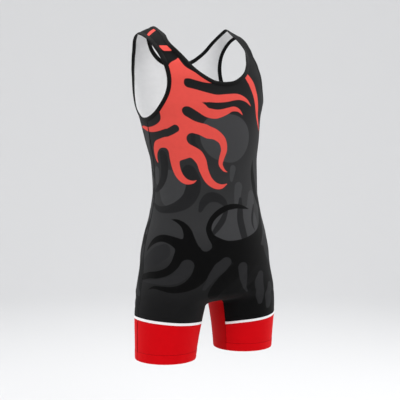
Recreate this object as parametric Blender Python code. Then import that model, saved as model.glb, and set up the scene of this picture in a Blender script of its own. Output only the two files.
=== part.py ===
"""A wrestling singlet, filled out as it is worn and held at the tops of its straps.

Metres, front towards -Y, the wearer's left towards +X, up is +Z, and the origin lies between the tops of the two
straps. Each object is one piece that is cut and sewn: it is laid out on the figure by its seams and extruded by its wall,
and pieces on the middle line are mirrored. In the tables h is the height above the leg hems.
"""
import math

import bmesh
import bpy
import numpy as np
from mathutils import Vector
from mathutils.geometry import delaunay_2d_cdt
from mathutils.kdtree import KDTree

for old in list(bpy.data.objects):
    bpy.data.objects.remove(old, do_unlink=True)

# ---- named sizes, metres
TOP = 0.825            # the strap tops above the leg hems
CLOTH = 0.0016         # wall of the body cloth
TRIM = 0.0024          # wall of the folded edge binding
PROUD = 0.0004         # how far the binding stands out of the cloth
BINDING = 0.011        # width of the edge binding
STRIPE = 0.0065        # width of the stripe above each leg band
GAP = 0.0003           # between two pieces at a seam
MESH = 0.0225          # size of the facets
STEP = 0.0155          # spacing of the points along a seam
INSEAM_FRONT = -70.0   # where the seams of the inner thigh piece run on the leg, degrees outward from its front
INSEAM_BACK = -126.0

# ---- the figure under the cloth
RING_COLS = ("h", "half_width", "front", "back", "centre_y", "front_power", "back_power")
RINGS = (
    (0.170, 0.1750, 0.1080, 0.1250, -0.0715, 2.2, 2.2),
    (0.210, 0.1790, 0.1180, 0.1350, -0.0715, 2.2, 2.2),
    (0.250, 0.1770, 0.1220, 0.1360, -0.0705, 2.2, 2.2),
    (0.300, 0.1670, 0.1215, 0.1290, -0.0685, 2.2, 2.2),
    (0.358, 0.1510, 0.1150, 0.1130, -0.0670, 2.2, 2.2),
    (0.420, 0.1415, 0.1090, 0.1050, -0.0660, 2.2, 2.2),
    (0.481, 0.1425, 0.1090, 0.1070, -0.0615, 2.3, 2.2),
    (0.542, 0.1525, 0.1150, 0.1150, -0.0535, 2.5, 2.4),
    (0.596, 0.1610, 0.1200, 0.1190, -0.0440, 2.8, 2.6),
    (0.634, 0.1730, 0.1220, 0.1160, -0.0380, 3.0, 2.7),
    (0.665, 0.1780, 0.1230, 0.1060, -0.0300, 3.0, 3.2),
    (0.696, 0.1820, 0.1250, 0.0930, -0.0220, 2.9, 4.2),
    (0.727, 0.1840, 0.1210, 0.0770, -0.0120, 2.6, 6.0),
    (0.758, 0.1840, 0.1000, 0.0560, 0.0000, 2.9, 7.0),
    (0.784, 0.1780, 0.0690, 0.0430, 0.0020, 3.4, 6.0),
    (0.803, 0.1580, 0.0490, 0.0310, 0.0030, 3.0, 4.5),
    (0.815, 0.1350, 0.0340, 0.0220, 0.0020, 2.6, 3.0),
    (0.8235, 0.1120, 0.0200, 0.0140, 0.0000, 2.3, 2.3),
    (0.827, 0.0980, 0.0140, 0.0100, 0.0000, 2.2, 2.2),
)
TRUNK_LOW = 0.170      # below this the trunk closes like the end of an egg
TRUNK_DROP = 0.034
LEG_COLS = ("h", "centre_x", "centre_y", "half_width", "half_depth")
LEGS = (
    (-0.02, 0.1220, -0.0650, 0.0755, 0.0755),
    (0.00, 0.1215, -0.0655, 0.0762, 0.0765),
    (0.05, 0.1190, -0.0675, 0.0795, 0.0810),
    (0.10, 0.1150, -0.0695, 0.0835, 0.0880),
    (0.14, 0.1090, -0.0700, 0.0850, 0.0950),
    (0.18, 0.1020, -0.0700, 0.0850, 0.1020),
    (0.22, 0.0960, -0.0690, 0.0810, 0.1060),
    (0.28, 0.0930, -0.0680, 0.0720, 0.1000),
    (0.36, 0.0850, -0.0660, 0.0500, 0.0800),
)
BLEND = 0.030          # how softly the legs run into the trunk
# the line that each level is laid out around, on the wearer's left half
AXIS_COLS = ("h", "x", "y")
AXIS = (
    (-0.03, 0.1220, -0.0650), (0.05, 0.1190, -0.0680), (0.10, 0.1160, -0.0710), (0.16, 0.1080, -0.0720),
    (0.22, 0.0860, -0.0700), (0.30, 0.0480, -0.0670), (0.38, 0.0160, -0.0670), (0.45, 0.0020, -0.0640),
    (0.50, 0.0000, -0.0590), (0.596, 0.0000, -0.0440), (0.665, 0.0, -0.0300), (0.727, 0.0, -0.0120),
    (0.784, 0.0, 0.0010), (0.827, 0.0, 0.0000),
)
# ---- the finished edges on the wearer's left half: x, y and height under the strap tops
NECK_COLS = ("x", "y", "z")
NECK = (
    (0.0000, -0.1470, -0.1400), (0.0250, -0.1470, -0.1375), (0.0450, -0.1440, -0.1295), (0.0655, -0.1360, -0.1170),
    (0.0800, -0.1260, -0.1020), (0.0895, -0.1120, -0.0870), (0.0960, -0.0970, -0.0720), (0.0995, -0.0790, -0.0565),
    (0.1020, -0.0610, -0.0405), (0.1045, -0.0400, -0.0230), (0.1075, -0.0200, -0.0090), (0.1095, 0.0000, -0.0030),
    (0.1075, 0.0200, -0.0100), (0.1020, 0.0320, -0.0220), (0.0925, 0.0400, -0.0365), (0.0820, 0.0480, -0.0520),
    (0.0680, 0.0530, -0.0660), (0.0490, 0.0580, -0.0790), (0.0260, 0.0620, -0.0870), (0.0000, 0.0630, -0.0895),
)
ARM_COLS = ("x", "y", "z")
ARM = (
    (0.1540, 0.0000, -0.0275), (0.1535, -0.0250, -0.0330), (0.1515, -0.0450, -0.0430), (0.1500, -0.0600, -0.0565),
    (0.1465, -0.0740, -0.0715), (0.1450, -0.0860, -0.0865), (0.1443, -0.0960, -0.1015), (0.1445, -0.1045, -0.1165),
    (0.1455, -0.1105, -0.1310), (0.1470, -0.1125, -0.1460), (0.1495, -0.1110, -0.1610), (0.1530, -0.1065, -0.1760),
    (0.1570, -0.0980, -0.1905), (0.1605, -0.0850, -0.2060), (0.1630, -0.0650, -0.2190), (0.1640, -0.0440, -0.2265),
    (0.1640, -0.0220, -0.2275), (0.1615, -0.0040, -0.2200), (0.1570, 0.0090, -0.2065), (0.1500, 0.0220, -0.1880),
    (0.1430, 0.0350, -0.1600), (0.1390, 0.0440, -0.1350), (0.1380, 0.0480, -0.1130), (0.1385, 0.0490, -0.0950),
    (0.1405, 0.0470, -0.0760), (0.1440, 0.0420, -0.0580), (0.1495, 0.0350, -0.0420), (0.1530, 0.0190, -0.0310),
)
SIDE_COLS = ("h", "behind_axis")   # the side seam on the figure
SIDE = ((-0.03, 0.012), (0.10, 0.0135), (0.20, 0.018), (0.30, 0.022), (0.42, 0.020), (0.50, 0.013), (0.56, 0.004), (0.62, 0.001))
LINE_COLS = ("turn", "h")          # the upper edge of the stripe round the leg, degrees outward from the front
LINE = ((-130.0, 0.0810), (-90.0, 0.0800), (-70.0, 0.0830), (-35.0, 0.0910), (10.0, 0.0970), (55.0, 0.1020),
        (90.0, 0.1035), (125.0, 0.1015), (180.0, 0.0940), (235.0, 0.0820))
RIDE = 0.0065          # how much higher the right leg's band seam has ridden on the leg, and the left one's lower


def column(table, k):
    t = np.array(table, float)
    return t[:, 0], t[:, k]


def smooth(x, y, at):
    """A curve through the points that never overshoots them."""
    at = np.clip(np.asarray(at, float), x[0], x[-1])
    d = np.diff(y) / np.diff(x)
    m = np.zeros_like(y)
    m[0], m[-1] = d[0], d[-1]
    for i in range(1, len(y) - 1):
        if d[i - 1] * d[i] > 0:
            p, q = x[i] - x[i - 1], x[i + 1] - x[i]
            m[i] = 3 * (p + q) / ((2 * q + p) / d[i - 1] + (q + 2 * p) / d[i])
    i = np.clip(np.searchsorted(x, at, side="right") - 1, 0, len(x) - 2)
    w = x[i + 1] - x[i]
    s = (at - x[i]) / w
    return ((1 + 2 * s) * (1 - s) ** 2 * y[i] + s * (1 - s) ** 2 * w * m[i]
            + s * s * (3 - 2 * s) * y[i + 1] + s * s * (s - 1) * w * m[i + 1])


_rings = {n: column(RINGS, k) for k, n in enumerate(RING_COLS) if k}
_legs = {n: column(LEGS, k) for k, n in enumerate(LEG_COLS) if k}
_axis = {n: column(AXIS, k) for k, n in enumerate(AXIS_COLS) if k}


def ring(name, h):
    return smooth(*_rings[name], h)


def leg(name, h):
    return smooth(*_legs[name], h)


def trunk(x, y, h):
    up = np.maximum(h, TRUNK_LOW)
    v = y - ring("centre_y", up)
    b = np.where(v < 0, ring("front", up), ring("back", up))
    n = np.where(v < 0, ring("front_power", up), ring("back_power", up))
    g = (np.abs(x) / ring("half_width", up)) ** n + (v / b) ** 2 + (np.maximum(TRUNK_LOW - h, 0) / TRUNK_DROP) ** 2
    return (np.sqrt(g) - 1) * 0.11


def thigh(x, y, h):
    g = ((x - leg("centre_x", h)) / leg("half_width", h)) ** 2 + ((y - leg("centre_y", h)) / leg("half_depth", h)) ** 2
    return (np.sqrt(g) - 1) * 0.085


def soft_min(p, q, k):
    s = np.clip(0.5 + 0.5 * (q - p) / k, 0, 1)
    return q * (1 - s) + p * s - k * s * (1 - s)


def figure(p):
    """Under 0 inside the figure."""
    x, y, h = p[..., 0], p[..., 1], p[..., 2]
    body = trunk(x, y, h)
    legs = soft_min(thigh(x, y, h), thigh(-x, y, h), 0.014)
    fade = np.clip((h - 0.14) / 0.17, 0, 1)
    return soft_min(body, legs + fade * fade * (3 - 2 * fade) * 0.045, BLEND)


def slope(p):
    e = 2e-5
    g = np.stack([(figure(p + d) - figure(p - d)) / (2 * e) for d in np.eye(3) * e], -1)
    return g


def settle(p, keep_x=False):
    """The point moved straight onto the figure's surface."""
    p = np.array(p, float)
    for _ in range(12):
        g = slope(p)
        if keep_x:
            g[..., 0] = 0
        p = p - figure(p)[..., None] * g / np.maximum((g * g).sum(-1, keepdims=True), 1e-6)
    return p


def outward(p):
    g = slope(p)
    return g / np.linalg.norm(g, axis=-1, keepdims=True)


def cast(origin, way, reach=0.34, steps=48):
    """Where a line from inside first leaves the figure."""
    lo = np.zeros(origin.shape[:-1])
    hi = np.full(lo.shape, reach)
    done = np.zeros(lo.shape, bool)
    for k in range(1, steps + 1):
        t = reach * k / steps
        out = figure(origin + way * t) > 0
        new = out & ~done
        lo = np.where(new, reach * (k - 1) / steps, lo)
        hi = np.where(new, t, hi)
        done |= out
    for _ in range(26):
        mid = (lo + hi) / 2
        out = figure(origin + way * mid[..., None]) > 0
        hi = np.where(out, mid, hi)
        lo = np.where(out, lo, mid)
    return origin + way * hi[..., None]


def axis(h):
    return np.stack([smooth(*_axis["x"], h), smooth(*_axis["y"], h), h], -1)


def at(turn, h):
    """The surface point at that turn about the axis, degrees outward from the front, and that height."""
    turn, h = np.broadcast_arrays(np.asarray(turn, float), np.asarray(h, float))
    r = np.radians(turn)
    return cast(axis(h), np.stack([np.sin(r), -np.cos(r), np.zeros_like(r)], -1))


def turn_of(p, middle):
    """The turn of each point about the axis, within half a circle of the middle one."""
    a = axis(p[..., 2])
    t = np.degrees(np.arctan2(p[..., 0] - a[..., 0], -(p[..., 1] - a[..., 1])))
    return (t - middle + 180) % 360 - 180 + middle


def flat(p, middle):
    """Where a point lies when the half of the garment is laid out: sideways by its turn, upwards by its height."""
    return np.stack([np.radians(turn_of(p, middle)) * 0.13, p[..., 2]], -1)


def unflat(q):
    return at(np.degrees(q[..., 0] / 0.13), q[..., 1])


# ---- lines on the surface
def lengths(p):
    return np.concatenate([[0], np.cumsum(np.linalg.norm(np.diff(p, axis=0), axis=1))])


def even(p, step):
    """The line with its points evenly spaced."""
    s = lengths(p)
    n = max(2, int(round(s[-1] / step)) + 1)
    q = np.linspace(0, s[-1], n)
    return np.stack([np.interp(q, s, p[:, k]) for k in range(p.shape[1])], 1)


def soften(p, rounds, loop):
    for _ in range(rounds):
        if loop:
            p = (np.roll(p, 1, 0) + 2 * p + np.roll(p, -1, 0)) / 4
        else:
            p = np.vstack([p[:1], (p[:-2] + 2 * p[1:-1] + p[2:]) / 4, p[-1:]])
    return p


def edge_line(table, loop):
    p = np.array(table, float) + (0, 0, TOP)
    if loop:
        p = np.vstack([p, p[:1]])
    s = lengths(p)
    q = np.linspace(0, s[-1], 420)
    fine = np.stack([smooth(s, p[:, k], q) for k in range(3)], 1)
    if loop:
        return settle(soften(fine[:-1], 60, True))
    mirror = fine[1:60][::-1] * (-1, 1, 1), fine[-60:-1][::-1] * (-1, 1, 1)
    fine = soften(np.vstack([mirror[0], fine, mirror[1]]), 60, False)[59:-59]
    fine[0, 0] = fine[-1, 0] = 0
    return settle(fine)


def shift(p, by, loop=False, middle=False):
    """The line moved sideways along the surface: to its left as seen from outside. Its ends stay on the middle plane."""
    if loop:
        t = np.roll(p, -1, 0) - np.roll(p, 1, 0)
    else:
        t = np.gradient(p, axis=0)
    if middle:
        t[[0, -1], 1:] = 0
    t /= np.linalg.norm(t, axis=1, keepdims=True)
    parts = max(1, int(abs(by) / 0.002))
    for _ in range(parts):
        n = outward(p)
        side = np.cross(n, t)
        p = settle(p + side * by / parts)
        if middle:
            p[[0, -1], 0] = 0
    return p


def cross(a, b):
    """Where two flat lines first cross: the place on each."""
    for i in range(len(a) - 1):
        d = a[i + 1] - a[i]
        for j in range(len(b) - 1):
            e = b[j + 1] - b[j]
            den = d[0] * e[1] - d[1] * e[0]
            if abs(den) < 1e-15:
                continue
            w = b[j] - a[i]
            s, t = (w[0] * e[1] - w[1] * e[0]) / den, (w[0] * d[1] - w[1] * d[0]) / den
            if -1e-9 <= s <= 1 + 1e-9 and -1e-9 <= t <= 1 + 1e-9:
                return i + s, j + t
    raise ValueError("two lines that should meet don't")


def part_of(p, start, end):
    """The line from one place on it to another, which may be the earlier one."""
    if start > end:
        return part_of(p, end, start)[::-1]
    n = np.arange(math.ceil(start + 1e-6), math.floor(end - 1e-6) + 1)
    ends = [p[int(k)] + (p[min(int(k) + 1, len(p) - 1)] - p[int(k)]) * (k - int(k)) for k in (start, end)]
    inner = p[n]
    return np.vstack([ends[0][None], inner, ends[1][None]])


def clear_of_ends(line, least=0.003):
    """The line without the points that nearly touch one of its two ends."""
    inner = line[1:-1]
    near = np.minimum(np.linalg.norm(inner - line[0], axis=1), np.linalg.norm(inner - line[-1], axis=1))
    return np.vstack([line[:1], inner[near > least], line[-1:]])


def outline(lines, around):
    """One closed outline from lines that cross their neighbours, each cut where it meets the next."""
    laid = [flat(line, around) for line in lines]
    cuts = [cross(laid[k], laid[(k + 1) % len(lines)]) for k in range(len(lines))]
    done = [part_of(line, cuts[k - 1][1], cuts[k][0]) for k, line in enumerate(lines)]
    for k, line in enumerate(done):
        if abs(line[-1, 0]) < 1e-9:      # the middle line is exact where another runs off it
            done[(k + 1) % len(done)][0] = line[-1]
    return np.vstack([clear_of_ends(line)[:-1] for line in done])


def inside(poly, q):
    hit = np.zeros(len(q), bool)
    for a, b in zip(poly, np.roll(poly, -1, 0)):
        over = (a[1] > q[:, 1]) != (b[1] > q[:, 1])
        x = (b[0] - a[0]) * (q[:, 1] - a[1]) / (b[1] - a[1] if b[1] != a[1] else 1) + a[0]
        hit ^= over & (q[:, 0] < x)
    return hit


def far_from(poly, q, gap):
    best = np.full(len(q), 9.0)
    for a, b in zip(poly, np.roll(poly, -1, 0)):
        d = b - a
        t = np.clip(((q - a) @ d) / max(d @ d, 1e-12), 0, 1)
        best = np.minimum(best, np.linalg.norm(q - a - t[:, None] * d, axis=1))
    return best > gap


def fill(line, size, around):
    """(points, faces) of the surface inside a closed outline."""
    poly = flat(line, around)
    lo, hi = poly.min(0), poly.max(0)
    rows = int((hi[1] - lo[1]) / (size * 0.866)) + 2
    cols = int((hi[0] - lo[0]) / size) + 3
    j, i = np.mgrid[0:rows, 0:cols]
    q = np.stack([lo[0] + (i + 0.5 * (j % 2)) * size, lo[1] + j * size * 0.866], -1).reshape(-1, 2)
    q = q[inside(poly, q)]
    q = q[far_from(poly, q, size * 0.55)]
    pts = np.vstack([poly, q])
    n = len(poly)
    out = delaunay_2d_cdt([tuple(v) for v in pts], [], [list(range(n))], 1, 1e-9)
    if len(out[0]) != len(pts):
        raise ValueError("an outline crosses itself")
    points = np.vstack([line, unflat(q)])
    order = [src[0] for src in out[3]]
    return points[order], [tuple(f) for f in out[2]]


# ---- objects
def material(name, colour, rough):
    m = bpy.data.materials.new(name)
    m.use_nodes = True
    b = m.node_tree.nodes["Principled BSDF"]
    b.inputs["Base Color"].default_value = (*colour, 1)
    b.inputs["Roughness"].default_value = rough
    return m


MATERIALS = {
    "body_print": material("body_print", (0.036, 0.036, 0.039), 0.62),
    "trim_black": material("trim_black", (0.006, 0.006, 0.007), 0.55),
    "stripe_white": material("stripe_white", (0.82, 0.82, 0.82), 0.6),
    "band_red": material("band_red", (0.62, 0.006, 0.012), 0.58),
}
parts = bpy.data.collections.new("wrestling_singlet")
bpy.context.scene.collection.children.link(parts)


def ride(p):
    """The leg seams moved up or down the thighs, by how each leg of the garment has ridden."""
    up = np.clip(p[:, 2] / 0.07, 0, 1) * np.clip((0.150 - p[:, 2]) / 0.045, 0, 1)
    away = np.clip((np.abs(p[:, 0]) - 0.012) / 0.022, 0, 1)
    rise = up * up * (3 - 2 * up) * away * away * (3 - 2 * away) * -np.sign(p[:, 0]) * RIDE
    moved = rise != 0
    q = p.copy()
    q[moved, 2] += rise[moved]
    q[moved] = settle(q[moved])
    return q


def piece(name, points, faces, slot, wall, lift=0.0, mirror=False, flip=False):
    """One named piece: its outer surface, extruded inwards by the wall, square to the figure."""
    p = np.array(points, float)
    if mirror:
        p[np.abs(p[:, 0]) < 2e-6, 0] = 0
        same = {i: i for i in np.flatnonzero(p[:, 0] == 0)}
        rest = np.flatnonzero(p[:, 0] != 0)
        same.update({int(i): len(p) + k for k, i in enumerate(rest)})
        p = np.vstack([p, p[rest] * (-1, 1, 1)])
        faces = list(faces) + [tuple(same[int(i)] for i in one)[::-1] for one in faces]
    if flip:
        p[:, 0] *= -1
    p = ride(p)
    n = outward(p)
    p = p + n * lift
    depth = -n * wall
    p[:, 2] -= TOP
    f = np.array([q[:3] for q in faces])
    turned = np.einsum("ij,ij->i", np.cross(p[f[:, 1]] - p[f[:, 0]], p[f[:, 2]] - p[f[:, 0]]), depth[f[:, 0]])
    shape = bmesh.new()
    corners = [shape.verts.new(tuple(v)) for v in p]
    for one, wrong in zip(faces, turned > 0):
        shape.faces.new([corners[i] for i in (one[::-1] if wrong else one)])
    outer = list(shape.faces)
    grown = bmesh.ops.extrude_face_region(shape, geom=outer, use_keep_orig=True)
    shape.verts.ensure_lookup_table()
    near = KDTree(len(p))
    for i, v in enumerate(p):
        near.insert(tuple(v), i)
    near.balance()
    for v in grown["geom"]:
        if isinstance(v, bmesh.types.BMVert):
            v.co += Vector(depth[near.find(v.co)[1]])
    bmesh.ops.recalc_face_normals(shape, faces=list(shape.faces))
    mesh = bpy.data.meshes.new(name)
    shape.to_mesh(mesh)
    shape.free()
    mesh.materials.append(MATERIALS[slot])
    mesh.shade_smooth()
    mesh.set_sharp_from_angle(angle=math.radians(40))
    obj = bpy.data.objects.new(name, mesh)
    parts.objects.link(obj)
    return obj


def strip(lines, loop):
    """(points, faces) between side by side lines with matching points."""
    n, k = len(lines[0]), len(lines)
    faces = []
    for j in range(k - 1):
        for i in range(n if loop else n - 1):
            m = (i + 1) % n
            faces.append((j * n + i, j * n + m, (j + 1) * n + m, (j + 1) * n + i))
    return np.vstack(lines), faces


# ---- the seams of the wearer's left half
half = GAP / 2


def over_middle(p, n=4):
    """The half line carried on past the middle plane at both ends."""
    return np.vstack([p[1:n + 1][::-1] * (-1, 1, 1), p, p[-n - 1:-1][::-1] * (-1, 1, 1)])


def stations(start, end, step=10.0):
    inner = np.arange(math.floor(start / step) + 1, math.ceil(end / step)) * step
    return np.concatenate([[start], inner[(inner > start + 0.5) & (inner < end - 0.5)], [end]])


def line_level(t):
    """How high the stripe's upper edge is at a turn round the leg."""
    return smooth(*column(LINE, 1), (t + 130) % 360 - 130)


def round_leg(start, end, drop):
    """The stripe's line round the leg, lower by the given distance."""
    t = stations(start, end)
    return at(t, line_level(t) - drop)


def down_leg(turn, nudge):
    """A line down the inner thigh from the middle plane to under the hem, at one turn moved round by a small distance."""
    turn = turn + np.degrees(nudge / 0.085)
    h = np.linspace(0.24, -0.015, 511)
    p = at(np.full(h.shape, turn), h)
    top = int(np.argmax(p[:, 0] > 0))
    first = p[top] + (p[top] - p[top + 1]) * min(3.0, p[top, 0] / max(p[top + 1, 0] - p[top, 0], 1e-5))
    first[0] = 0
    first = settle(first, keep_x=True)
    return even(np.vstack([first, p[top:]]), STEP * 0.8)


def shoulder(y):
    """The shoulder seam over the strap, from the neck side to the arm side."""
    x = np.linspace(0.100, 0.172, 9)
    o = np.stack([x, np.full(x.shape, y), np.full(x.shape, 0.745)], 1)
    return cast(o, np.broadcast_to((0.0, 0.0, 1.0), o.shape), reach=0.12)


def side_seam():
    found = []
    heights = np.linspace(-0.012, 0.625, 60)
    for h in heights:
        t = np.linspace(70, 130, 61)
        p = at(t, np.full(t.shape, h))
        found.append(np.interp(axis(np.array(h))[1] + smooth(*column(SIDE, 1), h), p[:, 1], t))
    found = soften(np.array(found)[:, None], 8, False)[:, 0]
    return even(at(found, heights), STEP)


def middle_line():
    """The surface on the middle plane, from the front of the chest under the crotch to the upper back."""
    h = np.linspace(0.76, 0.2505, 110)
    o = np.stack([np.zeros_like(h), axis(h)[:, 1], h], 1)
    front = cast(o, np.broadcast_to((0.0, -1.0, 0.0), o.shape))
    back = cast(o, np.broadcast_to((0.0, 1.0, 0.0), o.shape))[::-1]
    r = np.linspace(0, math.pi, 82)[1:-1]
    o = np.broadcast_to((0.0, axis(np.array(0.25))[1], 0.25), (80, 3))
    under = cast(o, np.stack([np.zeros_like(r), -np.cos(r), -np.sin(r)], 1))
    p = even(np.vstack([front, under, back]), STEP)
    p[:, 0] = 0
    return p


neck = even(edge_line(NECK, False), STEP)
neck[[0, -1], 0] = 0
arm = edge_line(ARM, True)
arm = even(np.vstack([arm, arm[:1]]), STEP)[:-1]
neck_seam = shift(neck, -BINDING, middle=True)
arm_seam = shift(arm, -BINDING, loop=True)
side = side_seam()
middle = middle_line()
low = int(np.argmin(arm[:, 2])) + 5            # just past the side seam, going round the arm
over = int(np.argmax(neck[:, 2])) + 4          # where the neck edge passes over the shoulder, past its mirrored points
under = int(np.argmin(middle[:, 2]))
BACK_TURN = 360 + INSEAM_BACK


def arm_front(offset):
    p = shift(arm_seam, offset, loop=True)
    return np.vstack([p[-4:], p[:low + 3]])


def arm_back(offset):
    p = shift(arm_seam, offset, loop=True)
    return np.vstack([p[low - 9:], p[:5]])


def turned_strip(upper, lower, rows):
    """(points, faces) of a strip round the leg between two heights given by the turn."""
    t = stations(INSEAM_FRONT + np.degrees(half / 0.085), BACK_TURN - np.degrees(half / 0.085))
    hi, lo = upper(t), lower(t)
    return strip([at(t, hi + (lo - hi) * k / rows) for k in range(rows + 1)], False)




def past_middle(p):
    """The line carried on a little past the middle plane, as it is laid out."""
    return np.vstack([p[0] + (0, 0, 0.004), p])


front_outline = outline([
    middle[:under + 3],
    past_middle(down_leg(INSEAM_FRONT, half)),
    round_leg(-80.0, 120.0, -half),
    shift(side, half),
    arm_front(-half)[::-1],
    shoulder(-half)[::-1],
    over_middle(shift(neck_seam, -half, middle=True))[:over + 4][::-1],
], 20.0)
back_outline = outline([
    shift(side, -half)[::-1],
    round_leg(80.0, 250.0, -half),
    past_middle(down_leg(BACK_TURN, -half))[::-1],
    middle[under - 2:],
    over_middle(shift(neck_seam, -half, middle=True))[over - 3:][::-1],
    shoulder(half),
    arm_back(-half)[::-1],
], 160.0)


def inner_thigh(count):
    """(points, faces) of half the inner thigh piece, in lines from the middle plane down to the hem."""
    lines = []
    slack = np.degrees(half / 0.085)
    for turn in np.linspace(INSEAM_FRONT - slack, INSEAM_BACK + slack, count):
        p = down_leg(turn, 0.0)
        p = part_of(p, 0, float(np.interp(0, -p[:, 2], np.arange(len(p)))))
        s = lengths(p)
        q = np.linspace(0, s[-1], 13)
        lines.append(np.stack([np.interp(q, s, p[:, k]) for k in range(3)], 1))
    points, faces = strip(lines, False)
    points[::13, 0] = 0
    return points, faces




def close_loop(p):
    """Both halves of a line that runs from the middle plane to the middle plane."""
    return np.vstack([p, p[1:-1][::-1] * (-1, 1, 1)])


piece("front_panel", *fill(front_outline, MESH, 20.0), "body_print", CLOTH, mirror=True)
piece("back_panel", *fill(back_outline, MESH, 160.0), "body_print", CLOTH, mirror=True)
piece("gusset", *inner_thigh(7), "band_red", CLOTH, mirror=True)
piece("binding_neck", *strip([close_loop(neck), close_loop(shift(neck_seam, half, middle=True))], True), "trim_black", TRIM, lift=PROUD)
for side_name, turn_over in (("left", False), ("right", True)):
    piece(f"binding_arm_{side_name}", *strip([arm, shift(arm_seam, half, loop=True)], True), "trim_black", TRIM, lift=PROUD, flip=turn_over)
    piece(f"stripe_{side_name}", *turned_strip(lambda t: line_level(t) - half, lambda t: line_level(t) - STRIPE + half, 1),
          "stripe_white", CLOTH, flip=turn_over)
    piece(f"band_{side_name}", *turned_strip(lambda t: line_level(t) - STRIPE - half, lambda t: 0 * t, 4),
          "band_red", CLOTH, flip=turn_over)
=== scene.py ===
"""The looks of a wrestling singlet: fine cloth shells, edge bindings, stitching, the flame print, soft light and a camera."""
import math

import bpy
import numpy as np
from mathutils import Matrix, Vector
from mathutils.geometry import delaunay_2d_cdt


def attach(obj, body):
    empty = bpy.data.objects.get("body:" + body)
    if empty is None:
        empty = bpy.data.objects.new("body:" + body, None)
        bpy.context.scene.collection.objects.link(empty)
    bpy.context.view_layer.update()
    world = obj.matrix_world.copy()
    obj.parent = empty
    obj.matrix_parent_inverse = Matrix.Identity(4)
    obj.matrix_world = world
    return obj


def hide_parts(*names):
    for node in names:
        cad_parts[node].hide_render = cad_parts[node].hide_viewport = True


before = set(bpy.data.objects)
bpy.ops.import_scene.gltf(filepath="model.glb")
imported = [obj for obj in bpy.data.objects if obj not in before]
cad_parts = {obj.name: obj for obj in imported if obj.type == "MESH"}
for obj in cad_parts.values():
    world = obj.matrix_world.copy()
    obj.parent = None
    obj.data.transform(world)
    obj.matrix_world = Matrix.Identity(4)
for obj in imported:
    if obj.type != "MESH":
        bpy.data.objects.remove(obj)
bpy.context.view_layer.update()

# ---- named sizes, metres
TOP = 0.825            # the strap tops above the leg hems
CLOTH = 0.0011         # wall of the body cloth as shown
BINDING = 0.011        # width of the folded edge binding
FOLD = 0.00045         # thickness of the binding's own cloth
TUCK = 0.0022          # how far a panel's edge runs on under the binding
STRIPE = 0.0065        # width of the stripe above each leg band
HEM = 0.022            # depth of the leg hem, down from its stitching
GAP = 0.0001           # between two pieces at a seam
MESH = 0.0031          # size of the facets
STEP = 0.0030          # spacing of the points along a seam
INSEAM_FRONT = -70.0   # where the seams of the inner thigh piece run on the leg, degrees outward from its front
INSEAM_BACK = -126.0
ROUND = 0.145          # metres of pattern to a radian round the trunk

# ---- the figure under the cloth
RING_COLS = ("h", "half_width", "front", "back", "centre_y", "front_power", "back_power")
RINGS = (
    (0.170, 0.1750, 0.1080, 0.1250, -0.0715, 2.2, 2.2),
    (0.210, 0.1790, 0.1180, 0.1350, -0.0715, 2.2, 2.2),
    (0.250, 0.1770, 0.1220, 0.1360, -0.0705, 2.2, 2.2),
    (0.300, 0.1670, 0.1215, 0.1290, -0.0685, 2.2, 2.2),
    (0.358, 0.1510, 0.1150, 0.1130, -0.0670, 2.2, 2.2),
    (0.420, 0.1415, 0.1090, 0.1050, -0.0660, 2.2, 2.2),
    (0.481, 0.1425, 0.1090, 0.1070, -0.0615, 2.3, 2.2),
    (0.542, 0.1525, 0.1150, 0.1150, -0.0535, 2.5, 2.4),
    (0.596, 0.1610, 0.1200, 0.1190, -0.0440, 2.8, 2.6),
    (0.634, 0.1730, 0.1220, 0.1160, -0.0380, 3.0, 2.7),
    (0.665, 0.1780, 0.1230, 0.1060, -0.0300, 3.0, 3.2),
    (0.696, 0.1820, 0.1250, 0.0930, -0.0220, 2.9, 4.2),
    (0.727, 0.1840, 0.1210, 0.0770, -0.0120, 2.6, 6.0),
    (0.758, 0.1840, 0.1000, 0.0560, 0.0000, 2.9, 7.0),
    (0.784, 0.1780, 0.0690, 0.0430, 0.0020, 3.4, 6.0),
    (0.803, 0.1580, 0.0490, 0.0310, 0.0030, 3.0, 4.5),
    (0.815, 0.1350, 0.0340, 0.0220, 0.0020, 2.6, 3.0),
    (0.8235, 0.1120, 0.0200, 0.0140, 0.0000, 2.3, 2.3),
    (0.827, 0.0980, 0.0140, 0.0100, 0.0000, 2.2, 2.2),
)
TRUNK_LOW = 0.170      # below this the trunk closes like the end of an egg
TRUNK_DROP = 0.034
LEG_COLS = ("h", "centre_x", "centre_y", "half_width", "half_depth")
LEGS = (
    (-0.02, 0.1220, -0.0650, 0.0755, 0.0755),
    (0.00, 0.1215, -0.0655, 0.0762, 0.0765),
    (0.05, 0.1190, -0.0675, 0.0795, 0.0810),
    (0.10, 0.1150, -0.0695, 0.0835, 0.0880),
    (0.14, 0.1090, -0.0700, 0.0850, 0.0950),
    (0.18, 0.1020, -0.0700, 0.0850, 0.1020),
    (0.22, 0.0960, -0.0690, 0.0810, 0.1060),
    (0.28, 0.0930, -0.0680, 0.0720, 0.1000),
    (0.36, 0.0850, -0.0660, 0.0500, 0.0800),
)
BLEND = 0.030          # how softly the legs run into the trunk
# the line that each level is laid out around, on the wearer's left half
AXIS_COLS = ("h", "x", "y")
AXIS = (
    (-0.03, 0.1220, -0.0650), (0.05, 0.1190, -0.0680), (0.10, 0.1160, -0.0710), (0.16, 0.1080, -0.0720),
    (0.22, 0.0860, -0.0700), (0.30, 0.0480, -0.0670), (0.38, 0.0160, -0.0670), (0.45, 0.0020, -0.0640),
    (0.50, 0.0000, -0.0590), (0.596, 0.0000, -0.0440), (0.665, 0.0, -0.0300), (0.727, 0.0, -0.0120),
    (0.784, 0.0, 0.0010), (0.827, 0.0, 0.0000),
)
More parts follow.
